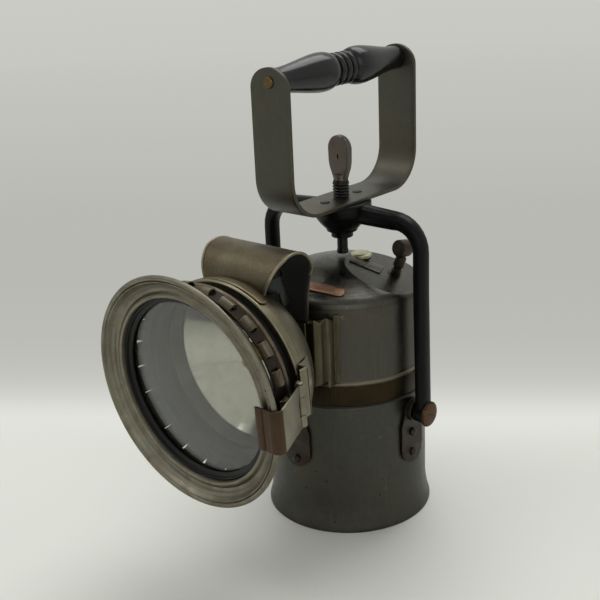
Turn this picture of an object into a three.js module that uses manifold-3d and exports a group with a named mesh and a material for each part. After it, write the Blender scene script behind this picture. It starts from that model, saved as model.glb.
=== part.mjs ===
// Carbide hand lamp: water tank over a carbide container, swinging yoke with a strap
// handle, and a lamp head with a hinged bezel. Millimetres, +Z up, the head faces -Y.
// The origin is the centre of the container's underside.
import * as THREE from 'three';
import { mergeVertices } from 'three/addons/utils/BufferGeometryUtils.js';
import Module from 'manifold-3d';

const wasm = await Module();
wasm.setup();

// Clearances and cutting
const gap = 0.3;
const overrun = 2;
const weldDistance = 1e-4;

// Facets of round pieces and steps along curves, as counts
const roundCount = 40;
const mediumCount = 20;
const smallCount = 10;
const threadCount = 16;
const nickCount = 6;
const pipeSteps = 14;
const flueSteps = 12;

// Shares of a screw or rivet head's radius and height
const headEdgeShare = 0.45;
const headCrownShare = 0.62;
const headRiseShare = 0.9;
const rivetCrownShare = 0.7;
const rivetRiseShare = 0.8;

// Carbide container
const canRadius = 49.2;
const canWall = 1.6;
const canHeight = 82.6;
const footSpread = 2.8;
const footRadius = canRadius + footSpread;
const footLip = 1.4;
const footFlare = 17;
const footFlarePower = 2.2;
const baseThickness = 2;
const gasketThickness = 1;

// Spigot of the tank, which reaches down into the container
const spigotClearance = 1.2;
const spigotRadius = canRadius - canWall - spigotClearance;
const spigotWall = 1.2;
const spigotDepth = 6.6;
const spigotBottom = canHeight - spigotDepth;

// Carbide basket, its lid and the felt over it
const basketClearance = 2.4;
const basketRadius = spigotRadius - basketClearance;
const basketWall = 1;
const basketDrop = 8;
const basketTop = spigotBottom - basketDrop;
const lidThickness = 1.2;
const lidTop = basketTop + lidThickness;
const lidHoleRadius = 3;
const lidHoleCount = 6;
const lidHoleInset = 14;
const lidHoleCircle = basketRadius - lidHoleInset;
const feltThickness = 4;
const feltMargin = 1.2;

// Lugs on the container and the yoke's pivot screws
const pivotDrop = 9.6;
const pivotHeight = canHeight - pivotDrop;
const lugWidth = 20;
const lugLength = 35;
const lugBottom = pivotHeight - lugLength;
const lugThickness = 1.6;
const lugBossRadius = 7;
const lugBossStand = 4.5;
const lugBossFace = canRadius + lugBossStand;
const pivotShankRadius = 3.1;
const pivotHeadRadius = 7.8;
const pivotHeadHeight = 3.2;
const pivotHeadDegrees = 30;
const slotWidth = 1.3;
const slotDepth = 1;
const lugRivetRadius = 1.3;
const lugRivetHeadRadius = 2.5;
const lugRivetHeadHeight = 1.1;
const lugRivetInset = 6.5;
const lugRivetPitch = 13.5;
const lugRivetHeights = [lugBottom + lugRivetInset, lugBottom + lugRivetInset + lugRivetPitch];

// Water tank and the band under it
const tankInset = 0.6;
const tankRadius = canRadius - tankInset;
const tankWall = 1.4;
const bandInset = 0.2;
const bandRadius = canRadius - bandInset;
const bandThickness = 1.8;
const bandRise = 13.6;
const bandTop = canHeight + bandRise;
const floorThickness = 1.2;
const tankFloorTop = bandTop + floorThickness;
const beadStand = 1.2;
const beadRadius = tankRadius + beadStand;
const beadHeight = 2.4;
const beadRollShare = 0.7;

// Crown of the tank, rounded about the pivots so that the clamp's foot clears it as the yoke swings
const crownReach = 90.4;
const crownTop = pivotHeight + crownReach;
const shoulderInset = 5.6;
const shoulderStart = tankRadius - shoulderInset;
const shoulderDrop = 18.9;
const shoulderFoot = crownTop - shoulderDrop;
const seamDrop = 3.5;
const tankSeam = shoulderFoot - seamDrop;

// The flat on the crown that carries the water valve
const flatDegrees = 24;
const flatSlopeDegrees = 20;
const flatRise = 0.5;
const flatTopHeight = crownTop + flatRise;
const plateLength = 17;
const plateWidth = 7.6;
const plateThickness = 0.8;
const plateStart = 7;

// Name plate on the front of the crown, left bare
const labelInset = 1;
const labelWidth = 8;
const labelOuter = shoulderStart - labelInset;
const labelInner = labelOuter - labelWidth;
const labelHalfDegrees = 36;
const labelThickness = 0.7;

// Water valve
const valveInset = 17.2;
const valveOut = tankRadius - valveInset;
const valveAside = 3.9;
const valveShankRadius = 2.4;
const valveShankBelow = 8;
const valveNeckRadius = 3.4;
const valveNeckStart = 5;
const valveNeckTop = 11;
const valveStemRadius = 2;
const valvePaddleRadius = 6;
const valvePaddleThickness = 3.6;
const valvePaddleHeight = 17;
const valvePaddleDegrees = -31;
const guideRadius = 4.6;
const guideLength = 16;
const needleRadius = 1.3;
const needleTipLength = 3;
const dripRadius = 3.2;
const dripBore = 1.5;
const dripReach = 10;
const dripBottom = basketTop - dripReach;
const dripStand = 1.6;

// Filler
const fillerX = 4.2;
const fillerY = 12.5;
const capRadius = 6.6;
const capDrop = 2;
const capTop = crownTop - capDrop;
const capThickness = 2.9;
const capBevel = 0.8;
const capNickRadius = 0.45;
const capRibCount = 12;
const capPlugRadius = 3.4;
const capPlugLength = 5;
const washerThickness = 0.8;
const wellClearance = 0.4;
const wellRadius = capRadius + wellClearance;
const wellWall = 1.3;
const wellDepth = 10.4;
const wellFloor = capTop - wellDepth;
const plugClearance = 0.4;
const neckBore = capPlugRadius + plugClearance;
const neckWall = 2.2;
const neckRadius = neckBore + neckWall;

// Bracket on the tank, and the slide of the head
const bracketStand = 2;
const bracketBottom = bandTop + bracketStand;
const bracketHeight = 39.8;
const bracketTop = bracketBottom + bracketHeight;
const channelStand = 3.7;
const channelBack = tankRadius + channelStand;
const channelDepth = 3.3;
const channelHalfWidth = 18.3;
const channelFront = channelBack + channelDepth;
const bracketFlank = 4.2;
const bracketHalfWidth = channelHalfWidth + bracketFlank;
const lipThickness = 1.6;
const lipWidth = 4.3;
const lipHalfOpening = channelHalfWidth - lipWidth;
const slideThickness = 2.7;
const slideRise = 5;
const slideTop = bracketTop + slideRise;
const slideChamfer = 4.5;
const slideShoulder = slideTop - slideChamfer;
const slideStemReach = 6;

// Gas way from the container to the burner
const gasPipeRadius = 2.8;
const gasPipeBore = 1.5;
const gasRiserInset = 7.2;
const gasRiserY = -(spigotRadius - spigotWall - gasRiserInset);
const gasOutletRise = 4.8;
const gasOutletHeight = bracketBottom + gasOutletRise;
const nippleStand = 7.4;
const nippleY = -(channelBack + nippleStand);
const nippleHeight = 11;
const nippleTop = gasOutletHeight + nippleHeight;
const gasBendRadius = 4;
const socketRadius = 4;
const socketDepth = 6;

// Bezel and glass, measured back from the bezel's front plane along the head's own axis
const bezelRadius = 66.5;
const bezelRoll = 1.5;
const bezelThickness = 1.1;
const bezelWidth = 13.7;
const bezelInner = bezelRadius - bezelWidth;
const bezelInnerDepth = 6;
const bezelChannelInset = 9;
const bezelChannelRadius = bezelRadius - bezelChannelInset;
const bezelChannelDepth = 5.6;
const bezelBack = 7.5;
const sleeveLength = 6.5;
const sleeveBack = bezelBack + sleeveLength;
const seatWidth = 3.4;
const glassSeatRadius = bezelInner - seatWidth;
const seatLength = 3.6;
const glassSeatDepth = bezelInnerDepth + seatLength;
const glassRadius = bezelInner - gap;
const glassThickness = 2.2;
const glassDome = 1.2;
const domeRingShare = 0.5;
const domeRiseShare = 0.75;
const retainerThickness = 1.2;
const retainerWidth = 3;

// Ring of vents behind the bezel
const barrelFront = sleeveBack + gap;
const barrelStep = 2.8;
const barrelFrontRadius = bezelInner + barrelStep;
const barrelTaper = 2.6;
const barrelRearRadius = barrelFrontRadius - barrelTaper;
const barrelWall = 1.1;
const barrelLength = 11.7;
const barrelBeadDepth = barrelFront + barrelLength;
const barrelBeadRadius = 1.4;
const barrelNeckStep = 4.4;
const barrelNeckRadius = barrelRearRadius - barrelNeckStep;
const barrelNeckLength = 11;
const barrelBack = barrelBeadDepth + barrelNeckLength;
const ventCount = 22;
const ventPhaseDegrees = 9;
const ventInset = 4.9;
const ventDepth = barrelFront + ventInset;
const ventSlotLength = 7;
const ventSlotWidth = 4.6;
const ventSlotAside = 1.5;
const louvreAside = 4.6;
const louvreHeight = 1.5;

// Bowl and reflector
const bowlStart = 7.7;
const bowlFront = barrelBeadDepth + bowlStart;
const bowlStep = 3.3;
const bowlRadius = barrelNeckRadius + bowlStep;
const bowlLip = 1.2;
const bowlDepth = 40;
const bowlLength = 39.3;
const bowlBack = bowlFront + bowlLength;
const bowlWall = 1.2;
const reflectorStart = 12.3;
const reflectorFront = bowlFront + reflectorStart;
const reflectorRimInset = 1.4;
const reflectorRim = barrelNeckRadius - reflectorRimInset;
const reflectorRimWidth = 1.8;
const reflectorRadius = reflectorRim - reflectorRimWidth;
const reflectorClearance = 4;
const reflectorBack = bowlBack - reflectorClearance;
const reflectorHole = 6;
const reflectorWall = 0.9;
const reflectorOutShare = 0.6;

// Place of the lamp head on the lamp
const headStand = 12.55;
const headY = -(channelBack + bowlBack + headStand);
const headRise = 22.35;
const headZ = bracketBottom + headRise;
const headTiltDegrees = 3.67;

// Chimney and its hood, which is as wide as the saddle strip under its front
const saddleStart = 2.9;
const saddleFront = bowlFront + saddleStart;
const saddleWidth = 7;
const saddleThickness = 1;
const saddleHalfDegrees = 33;
const saddleRadius = bowlRadius + gap;
const hoodHalfTop = (saddleRadius + saddleThickness) * Math.sin(saddleHalfDegrees * Math.PI / 180);
const hoodOverhang = 6.5;
const hoodHalfFoot = hoodHalfTop - hoodOverhang;
const hoodSideClearance = 1.5;
const hoodBackTaper = 2.5;
const hoodBackHalfFoot = hoodHalfFoot - hoodBackTaper;
const chimneyInset = 13.5;
const chimneyCentre = bowlBack - chimneyInset;
const chimneyHalfWidth = hoodHalfFoot - hoodSideClearance;
const chimneyHalfDepth = 11.5;
const chimneyWall = 1;
const chimneyDrop = 1.4;
const chimneyTop = bowlRadius - chimneyDrop;
const hoodFrontReach = 15.5;
const hoodFront = chimneyCentre - hoodFrontReach;
const hoodRearReach = 20.1;
const hoodRear = chimneyCentre + hoodRearReach;
const hoodFrontDrop = 6;
const hoodFrontFoot = chimneyTop - hoodFrontDrop;
const hoodRise = 11.1;
const hoodTop = chimneyTop + hoodRise;
const hoodThickness = 1.2;
const hoodShoulderDrop = 0.6;
const hoodShoulder = hoodTop - hoodShoulderDrop;
const hoodBackClearance = 2.05;
const hoodBackFoot = slideShoulder - headZ + hoodBackClearance;

// Burner
const burnerPipeRadius = 3;
const burnerPipeBore = 1.4;
const burnerHoleClearance = 1.8;
const burnerHole = burnerPipeRadius + burnerHoleClearance;
const burnerReach = 23;
const burnerDepth = bowlBack - burnerReach;
const burnerDrop = 2;
const burnerBodyRadius = 4.2;
const burnerBodyHeight = 6;
const tipSpread = 6.5;
const tipRadius = 2.2;
const tipLength = 8;
const tipShoulderShare = 0.6;
const tipDegrees = 42;

// Bezel hinge on the right, and the spring catch on the left
const hingeStand = 1.6;
const hingeX = barrelFrontRadius + hingeStand;
const hingeSetback = 3;
const hingeDepth = barrelBeadDepth + hingeSetback;
const hingeHalfHeight = 12;
const hingeCentreHeight = -3;
const pinRadius = 1.2;
const pinHeadRadius = 2.1;
const pinHeadHeight = 1;
const knuckleRadius = 2.5;
const middleKnuckleHalf = 5;
const leafThickness = 1.1;
const leafStart = 3.6;
const leafTurn = bowlFront + leafStart;
const leafSeat = 9.7;
const leafBack = leafTurn + leafSeat;
const leafHalfHeight = 15;
const wrapClearance = 0.5;
const wrapStand = 1.9;
const wrapSideX = bezelRadius + wrapStand;
const wrapInnerX = bezelInner + bezelThickness;
const wrapFront = -leafThickness - wrapClearance;
const catchStand = 2.8;
const catchX = barrelFrontRadius + catchStand;
const catchWidth = 12;
const catchThickness = 0.9;

// Yoke
const yokeDepth = 8.4;
const yokeBevel = 1.8;
const legThickness = 6.8;
const legClearance = 0.7;
const legOuterFoot = lugBossFace + legClearance + legThickness;
const legLean = 1.2;
const legOuterTop = legOuterFoot - legLean;
const yokeRise = 32.8;
const yokeTop = crownTop + yokeRise;
const yokeShoulderDrop = 1.6;
const yokeCornerRadius = 22;
const barThickness = 11.4;
const yokeEyeRadius = 6.3;
const bossTopRadius = 18;
const bossRimHeight = 3.8;
const bossWaistRadius = 14;
const bossWaistDrop = 11.2;
const bossWaist = yokeTop - bossWaistDrop;
const bossFootRadius = 9.5;
const bossHeight = 18.2;
const bossFoot = yokeTop - bossHeight;
const collarRadius = 6.6;
const collarHeight = 3.8;
const collarFoot = bossFoot - collarHeight;

// Clamp screw
const threadRadius = 5;
const threadDepth = 0.7;
const threadPitch = 2;
const threadFootDrop = 1;
const threadFoot = bossFoot - threadFootDrop;
const threadRise = 12.8;
const threadTop = yokeTop + threadRise;
const rodRadius = 3.2;
const padRadius = 3.6;
const padHeight = 2.2;
const padStand = 0.4;
const padFoot = crownTop + padStand;
const spadeHalfWidth = 8.2;
const spadeHeight = 26.4;
const spadeTop = threadTop + spadeHeight;
const spadeNeck = 2;
const spadeWaist = threadTop + spadeNeck;
const spadeRootHeight = 5;
const spadeRootShare = 0.85;
const spadeThickness = 4.2;
const spadeHoleRadius = 1.3;
const spadeHoleDrop = 2.7;
const spadeArcDegrees = 20;
const spadeTurnDegrees = 18;

// Strap handle
const strapThickness = 2;
const strapWidth = 27;
const strapSpan = 58.7;
const strapBend = 23;
const strapRoundHeight = 11.5;
const strapRivetInset = 2.7;
const strapRivetAt = bossTopRadius - strapRivetInset;
const strapRivetRadius = 1.6;
const strapRivetHeadRadius = 3;
const strapRivetHeadHeight = 0.9;
const strapRivetLength = 7;

// Grip, with shares of its bulb's radius and of the run from the bulb to the end
const gripBulbRadius = 11.2;
const gripBulbAt = 18.7;
const gripEndRadius = 7;
const gripBeadRadius = 9.3;
const gripBeadPitch = 6;
const gripGrooveRadius = 7.2;
const beadCrestShare = 0.4;
const beadEndShare = 1.6;
const bulbRiseShare = 0.86;
const bulbCrownShare = 0.98;
const bulbFallShare = 0.88;
const bulbFallAtShare = 0.3;
const gripWaistShare = 1.1;
const gripWaistAtShare = 0.66;
const gripScrewRadius = 2;
const gripScrewHeadRadius = 3.3;
const gripScrewHeadHeight = 1.5;
const gripScrewLength = 14;
const handRoom = 26.8;
const gripHeight = spadeTop + handRoom + gripBulbRadius;
const strapEndRise = 8;
const strapTop = gripHeight + strapEndRise;

// Colours and finishes
function finish(color, roughness, metalness) {
  return new THREE.MeshStandardMaterial({ color, roughness, metalness });
}

const gunmetal = finish(0x45443f, 0.5, 0.7);
const lampMetal = finish(0x6e685b, 0.45, 0.8);
const brass = finish(0x5a4728, 0.45, 0.8);
const paleBrass = finish(0xb8ab84, 0.4, 0.8);
const copper = finish(0xa9745a, 0.45, 0.8);
const blackEnamel = finish(0x17181a, 0.35, 0.1);
const blackWood = finish(0x141517, 0.3, 0);
const strapSteel = finish(0x4a4a44, 0.45, 0.8);
const rust = finish(0x4d3425, 0.7, 0.5);
const soot = finish(0x0e0d0c, 0.9, 0);
const silver = finish(0xb9b8ad, 0.25, 0.9);
const glassClear = finish(0xcfd6d4, 0.05, 0);
const rubber = finish(0x2a2623, 0.9, 0);
const felt = finish(0x8a8474, 1, 0);
const steatite = finish(0xd8d2c2, 0.8, 0);

// Geometry helpers
const radians = THREE.MathUtils.degToRad;
const lamp = new THREE.Group();

// Turns a geometry so that its faces point outwards, and keeps positions only.
function outward(geometry) {
  const bare = geometry.clone();
  bare.deleteAttribute('normal');
  bare.deleteAttribute('uv');
  const merged = mergeVertices(bare, weldDistance);
  const place = merged.getAttribute('position');
  const index = Array.from(merged.getIndex().array);
  const a = new THREE.Vector3();
  const b = new THREE.Vector3();
  const c = new THREE.Vector3();
  const kept = [];
  let volume = 0;
  for (let i = 0; i < index.length; i += 3) {
    const [p, q, r] = index.slice(i, i + 3);
    if (p === q || q === r || r === p) continue;
    kept.push(p, q, r);
    a.fromBufferAttribute(place, p);
    b.fromBufferAttribute(place, q);
    c.fromBufferAttribute(place, r);
    volume += a.dot(b.cross(c));
  }
  if (volume < 0) kept.reverse();
  merged.setIndex(kept);
  return merged;
}

function toSolid(geometry) {
  const source = outward(geometry);
  return new wasm.Manifold(new wasm.Mesh({
    numProp: 3,
    vertProperties: new Float32Array(source.getAttribute('position').array),
    triVerts: new Uint32Array(source.getIndex().array),
  }));
}

function toGeometry(solid) {
  const result = solid.getMesh();
  const geometry = new THREE.BufferGeometry();
  geometry.setAttribute('position', new THREE.BufferAttribute(new Float32Array(result.vertProperties), 3));
  geometry.setIndex(new THREE.BufferAttribute(new Uint32Array(result.triVerts), 1));
  return geometry;
}

function join(first, ...others) {
  return toGeometry(others.reduce((sum, other) => sum.add(toSolid(other)), toSolid(first)));
}

function cut(first, ...others) {
  return toGeometry(others.reduce((rest, other) => rest.subtract(toSolid(other)), toSolid(first)));
}

function common(first, ...others) {
  return toGeometry(others.reduce((rest, other) => rest.intersect(toSolid(other)), toSolid(first)));
}

function add(name, geometry, material, parent = lamp) {
  const closed = outward(geometry);
  closed.computeVertexNormals();
  const mesh = new THREE.Mesh(closed, material);
  mesh.name = name;
  parent.add(mesh);
  return mesh;
}

// A turned piece about Z from [radius, height] points.
function turned(points, count = roundCount) {
  const profile = points.map(([radius, height]) => new THREE.Vector2(radius, height));
  const last = points[points.length - 1];
  if (points[0][0] > 0 || last[0] > 0) profile.push(profile[0].clone());
  return new THREE.LatheGeometry(profile, count).rotateX(Math.PI / 2);
}

// A ring or tube about Z.
function ring(inner, outer, bottom, top, count = roundCount) {
  return turned([[inner, bottom], [outer, bottom], [outer, top], [inner, top]], count);
}

// A round bar about Z.
function rod(radius, bottom, top, count = smallCount) {
  return new THREE.CylinderGeometry(radius, radius, top - bottom, count)
    .rotateX(Math.PI / 2).translate(0, 0, (top + bottom) / 2);
}

// A round bar along X.
function crossRod(radius, from, to, count = smallCount) {
  return rod(radius, from, to, count).rotateY(Math.PI / 2);
}

// A box from its lowest to its highest corner.
function block(x0, x1, y0, y1, z0, z1) {
  return new THREE.BoxGeometry(x1 - x0, y1 - y0, z1 - z0)
    .translate((x0 + x1) / 2, (y0 + y1) / 2, (z0 + z1) / 2);
}

// An outline in XY, drawn up from bottom to top.
function raised(shape, bottom, top, curveSegments = 8) {
  return new THREE.ExtrudeGeometry(shape, { depth: top - bottom, bevelEnabled: false, curveSegments })
    .translate(0, 0, bottom);
}

// An outline in YZ, drawn along X.
function sideways(shape, from, to, curveSegments = 8) {
  return raised(shape, from, to, curveSegments)
    .applyMatrix4(new THREE.Matrix4().makeBasis(
      new THREE.Vector3(0, 1, 0), new THREE.Vector3(0, 0, 1), new THREE.Vector3(1, 0, 0)));
}

// An outline in XZ, drawn along Y.
function endways(shape, from, to, curveSegments = 8) {
  return raised(shape, -to, -from, curveSegments).rotateX(Math.PI / 2);
}

function outline(points) {
  return new THREE.Shape(points.map(([x, y]) => new THREE.Vector2(x, y)));
}

// Points of an arc, angles in degrees.
function arc(x, y, radius, from, to, steps) {
  const points = [];
  for (let i = 0; i <= steps; i += 1) {
    const turn = radians(from + (to - from) * i / steps);
    points.push([x + radius * Math.cos(turn), y + radius * Math.sin(turn)]);
  }
  return points;
}

// A round tube or bar along a path of points with rounded corners.
function alongPath(points, bend, radius, count = 12) {
  const path = new THREE.CurvePath();
  let from = points[0];
  for (let i = 1; i < points.length - 1; i += 1) {
    const before = points[i].clone().lerp(points[i - 1], bend / points[i].distanceTo(points[i - 1]));
    const after = points[i].clone().lerp(points[i + 1], bend / points[i].distanceTo(points[i + 1]));
    path.add(new THREE.LineCurve3(from, before));
    path.add(new THREE.QuadraticBezierCurve3(before, points[i], after));
    from = after;
  }
  path.add(new THREE.LineCurve3(from, points[points.length - 1]));
  const section = new THREE.Shape().absarc(0, 0, radius, 0, 2 * Math.PI);
  return new THREE.ExtrudeGeometry(section, {
    steps: pipeSteps, curveSegments: count / 2, bevelEnabled: false, extrudePath: path,
  });
}

// Head of a screw about Z, standing on height zero, domed, with a slot across X.
function slottedHead(radius, height) {
  const head = turned([[0, 0], [radius, 0], [radius, height * headEdgeShare],
    [radius * headCrownShare, height * headRiseShare], [0, height]], smallCount);
  const slot = block(-radius, radius, -slotWidth / 2, slotWidth / 2, height - slotDepth, height + overrun);
  return cut(head, slot);
}

// Carbide container

function footCurve(inset) {
  const points = [];
  const steps = 3;
  for (let i = 0; i <= steps; i += 1) {
    const share = i / steps;
    const radius = canRadius + (footRadius - canRadius) * (1 - share) ** footFlarePower;
    points.push([radius - inset, footLip + footFlare * share]);
  }
  return points;
}

function lugRivetHole(turn, height, radius) {
  return crossRod(radius, canRadius - canWall - overrun, lugBossFace).translate(0, 0, height).rotateZ(turn);
}

const lugTurns = { right: 0, left: Math.PI, front: -Math.PI / 2 };
const lugRivetRows = { right: lugRivetHeights, left: lugRivetHeights, front: lugRivetHeights.slice(0, 1) };

function carbideContainer() {
  const wall = turned([[footRadius, 0], ...footCurve(0), [canRadius, canHeight],
    [canRadius - canWall, canHeight], ...footCurve(canWall).reverse(), [footRadius - canWall, 0]]);
  const holes = Object.entries(lugTurns).flatMap(([side, turn]) => lugRivetRows[side]
    .map((height) => lugRivetHole(turn, height, lugRivetRadius + gap)));
  return cut(wall, ...holes);
}

function carbideBasket() {
  const inner = basketRadius - basketWall;
  return turned([[0, baseThickness], [basketRadius, baseThickness], [basketRadius, basketTop],
    [inner, basketTop], [inner, baseThickness + basketWall], [0, baseThickness + basketWall]], mediumCount);
}

// The drip tube stands where the valve's axis meets the tank floor.
const flatTurn = radians(flatDegrees);
const flatSlope = radians(flatSlopeDegrees);
const valveFoot = flatTopHeight - Math.tan(flatSlope) * valveOut;
const dripTop = tankFloorTop + dripStand;
const dripOut = valveOut - (valveFoot - dripTop) * Math.tan(flatSlope);
const dripX = dripOut * Math.cos(flatTurn) - valveAside * Math.sin(flatTurn);
const dripY = dripOut * Math.sin(flatTurn) + valveAside * Math.cos(flatTurn);
const dripHoleRadius = dripRadius + gap;

function basketLid() {
  const disc = rod(basketRadius, basketTop, lidTop, mediumCount);
  const drip = rod(dripHoleRadius + basketWall, basketTop - overrun, lidTop + overrun)
    .translate(dripX, dripY, 0);
  const holes = [];
  for (let i = 0; i < lidHoleCount; i += 1) {
    const turn = 2 * Math.PI * i / lidHoleCount;
    holes.push(rod(lidHoleRadius, basketTop - overrun, lidTop + overrun)
      .translate(lidHoleCircle * Math.cos(turn), lidHoleCircle * Math.sin(turn), 0));
  }
  return cut(disc, drip, ...holes);
}

function filterFelt() {
  const top = lidTop + feltThickness;
  const drip = rod(dripHoleRadius + basketWall, lidTop - overrun, top + overrun).translate(dripX, dripY, 0);
  return cut(rod(basketRadius - feltMargin, lidTop, top, mediumCount), drip);
}

function lug(turn, rivetHeights) {
  const inner = canRadius + gap;
  const half = lugWidth / 2;
  const neck = lugBossRadius + lugThickness;
  const face = outline([...arc(0, lugBottom + half, half, 180, 360, 8), [half, pivotHeight - lugBossRadius],
    [neck, pivotHeight], ...arc(0, pivotHeight, lugBossRadius, 0, 180, 8), [-neck, pivotHeight],
    [-half, pivotHeight - lugBossRadius]]);
  const plate = common(ring(inner, inner + lugThickness, lugBottom - overrun, canHeight),
    sideways(face, 0, lugBossFace));
  const boss = crossRod(lugBossRadius, inner + lugThickness / 2, lugBossFace, mediumCount)
    .translate(0, 0, pivotHeight);
  const bore = crossRod(pivotShankRadius + gap, 0, lugBossFace + overrun, mediumCount)
    .translate(0, 0, pivotHeight);
  const holes = rivetHeights.map((height) => crossRod(lugRivetRadius + gap, 0, lugBossFace + overrun)
    .translate(0, 0, height));
  return cut(join(plate, boss), bore, ...holes).rotateZ(turn);
}

function lugRivet(turn, height) {
  const seat = canRadius + gap + lugThickness;
  const crown = [lugRivetHeadRadius * rivetCrownShare, lugRivetHeadHeight * rivetRiseShare];
  const head = turned([[0, 0], [lugRivetHeadRadius, 0], crown, [0, lugRivetHeadHeight]], smallCount)
    .rotateY(Math.PI / 2).translate(seat, 0, 0);
  const shank = crossRod(lugRivetRadius, canRadius - canWall, seat + lugRivetHeadHeight / 2);
  return join(head, shank).translate(0, 0, height).rotateZ(turn);
}

function pivotScrew(turn) {
  const head = slottedHead(pivotHeadRadius, pivotHeadHeight).rotateY(Math.PI / 2)
    .rotateX(radians(pivotHeadDegrees)).translate(legOuterFoot + gap, 0, 0);
  const shank = crossRod(pivotShankRadius, canRadius + gap, legOuterFoot + 2 * gap, mediumCount);
  return join(head, shank).translate(0, 0, pivotHeight).rotateZ(turn);
}

add('carbide_container', carbideContainer(), gunmetal);
add('container_base', rod(footRadius - canWall - 2 * gap, 0, baseThickness, roundCount), gunmetal);
add('carbide_basket', carbideBasket(), gunmetal);
add('basket_lid', basketLid(), gunmetal);
add('filter_felt', filterFelt(), felt);
add('joint_gasket', ring(spigotRadius + gap, bandRadius, canHeight, canHeight + gasketThickness), rubber);
for (const [side, turn] of Object.entries(lugTurns)) {
  add(`lug_${side}`, lug(turn, lugRivetRows[side]), rust);
  lugRivetRows[side].forEach((height, i) => {
    add(`lug_rivet_${side}_${i + 1}`, lugRivet(turn, height), rust);
  });
}
for (const side of ['right', 'left']) {
  add(`pivot_screw_${side}`, pivotScrew(lugTurns[side]), rust);
}

// Water tank

function crownProfile(inset) {
  const reach = crownReach - inset;
  const points = [[0, pivotHeight + reach]];
  const steps = 4;
  for (let i = 1; i <= steps; i += 1) {
    const radius = shoulderStart * i / steps;
    points.push([radius, pivotHeight + Math.sqrt(reach ** 2 - radius ** 2)]);
  }
  const [lastRadius, lastHeight] = points[points.length - 1];
  const edge = tankRadius - inset;
  const drop = lastHeight - shoulderFoot;
  const bends = 3;
  for (let i = 1; i <= bends; i += 1) {
    const turn = Math.PI / 2 * i / bends;
    points.push([lastRadius + (edge - lastRadius) * Math.sin(turn), shoulderFoot + drop * Math.cos(turn)]);
  }
  return points;
}

// Everything above the crown's flat, which falls away from the centre on one side.
function aboveFlat(lower) {
  const size = 2 * tankRadius;
  return block(-size, size, -size, size, 0, size)
    .rotateY(flatSlope).rotateZ(flatTurn).translate(0, 0, flatTopHeight - lower / Math.cos(flatSlope));
}

function crownSolid(inset) {
  const profile = crownProfile(inset);
  const edge = tankRadius - inset;
  const foot = tankSeam - (inset > 0 ? overrun : 0);
  return cut(turned([...profile, [edge, foot], [0, foot]]), aboveFlat(inset));
}

// Moves a piece drawn about Z out along the crown's flat, and aside on it.
function onFlat(geometry, out, aside = 0) {
  const height = flatTopHeight - Math.tan(flatSlope) * out;
  return geometry.rotateY(flatSlope).translate(out, aside, height).rotateZ(flatTurn);
}

function atValve(geometry) {
  return onFlat(geometry, valveOut, valveAside);
}

function tankCrown() {
  const well = common(rod(wellRadius + wellWall, wellFloor - wellWall, flatTopHeight, mediumCount)
    .translate(fillerX, fillerY, 0), crownSolid(0));
  const shell = join(cut(crownSolid(0), crownSolid(tankWall)), well);
  const recess = rod(wellRadius, wellFloor, flatTopHeight + overrun, mediumCount)
    .translate(fillerX, fillerY, 0);
  const mouth = rod(neckBore, wellFloor - wellWall - overrun, wellFloor + overrun, mediumCount)
    .translate(fillerX, fillerY, 0);
  const valveHole = atValve(rod(valveShankRadius + gap, -tankWall - overrun, overrun));
  return cut(shell, recess, mouth, valveHole);
}

function tankSide() {
  const inner = tankRadius - tankWall;
  const wall = turned([[inner, tankFloorTop], [beadRadius, tankFloorTop],
    [beadRadius, tankFloorTop + beadHeight * beadRollShare], [tankRadius, tankFloorTop + beadHeight],
    [tankRadius, tankSeam], [inner, tankSeam]]);
  const gasHole = rod(gasPipeRadius + gap, 0, tankRadius + overrun).rotateX(Math.PI / 2)
    .translate(0, 0, gasOutletHeight);
  return cut(wall, gasHole);
}

function tankFloor() {
  const plate = turned([[0, bandTop], [spigotRadius - spigotWall, bandTop],
    [spigotRadius - spigotWall, spigotBottom], [spigotRadius, spigotBottom], [spigotRadius, bandTop],
    [tankRadius, bandTop], [tankRadius, tankFloorTop], [0, tankFloorTop]]);
  const drip = rod(dripHoleRadius, bandTop - overrun, tankFloorTop + overrun).translate(dripX, dripY, 0);
  const gas = rod(gasPipeRadius + gap, bandTop - overrun, tankFloorTop + overrun).translate(0, gasRiserY, 0);
  return cut(plate, drip, gas);
}

function labelPlate() {
  const shell = cut(turned([...crownProfile(-gap - labelThickness), [0, shoulderFoot]]),
    turned([...crownProfile(-gap), [0, shoulderFoot]]));
  const sector = outline([...arc(0, 0, labelOuter, -90 - labelHalfDegrees, -90 + labelHalfDegrees, 10),
    ...arc(0, 0, labelInner, -90 + labelHalfDegrees, -90 - labelHalfDegrees, 10)]);
  return common(shell, raised(sector, shoulderFoot, flatTopHeight));
}

function crownPlate() {
  const top = gap + plateThickness;
  return onFlat(block(0, plateLength, -plateWidth, 0, gap, top), plateStart);
}

const neckTop = capTop - capThickness - washerThickness - gap;

function fillerNeck() {
  return ring(neckBore, neckRadius, wellFloor, neckTop, mediumCount).translate(fillerX, fillerY, 0);
}

function fillerCap() {
  const foot = capTop - capThickness;
  const plugEnd = foot - capPlugLength;
  const cap = turned([[0, plugEnd], [capPlugRadius, plugEnd], [capPlugRadius, foot], [capRadius, foot],
    [capRadius, capTop - capBevel], [capRadius - capBevel, capTop], [0, capTop]], mediumCount);
  const nicks = [];
  for (let i = 0; i < capRibCount; i += 1) {
    nicks.push(rod(capNickRadius, foot - overrun, capTop + overrun, nickCount).translate(capRadius, 0, 0)
      .rotateZ(2 * Math.PI * i / capRibCount));
  }
  return cut(cap, ...nicks).translate(fillerX, fillerY, 0);
}

function fillerWasher() {
  return ring(capPlugRadius + gap, capRadius - gap, neckTop, neckTop + washerThickness, mediumCount)
    .translate(fillerX, fillerY, 0);
}

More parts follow.
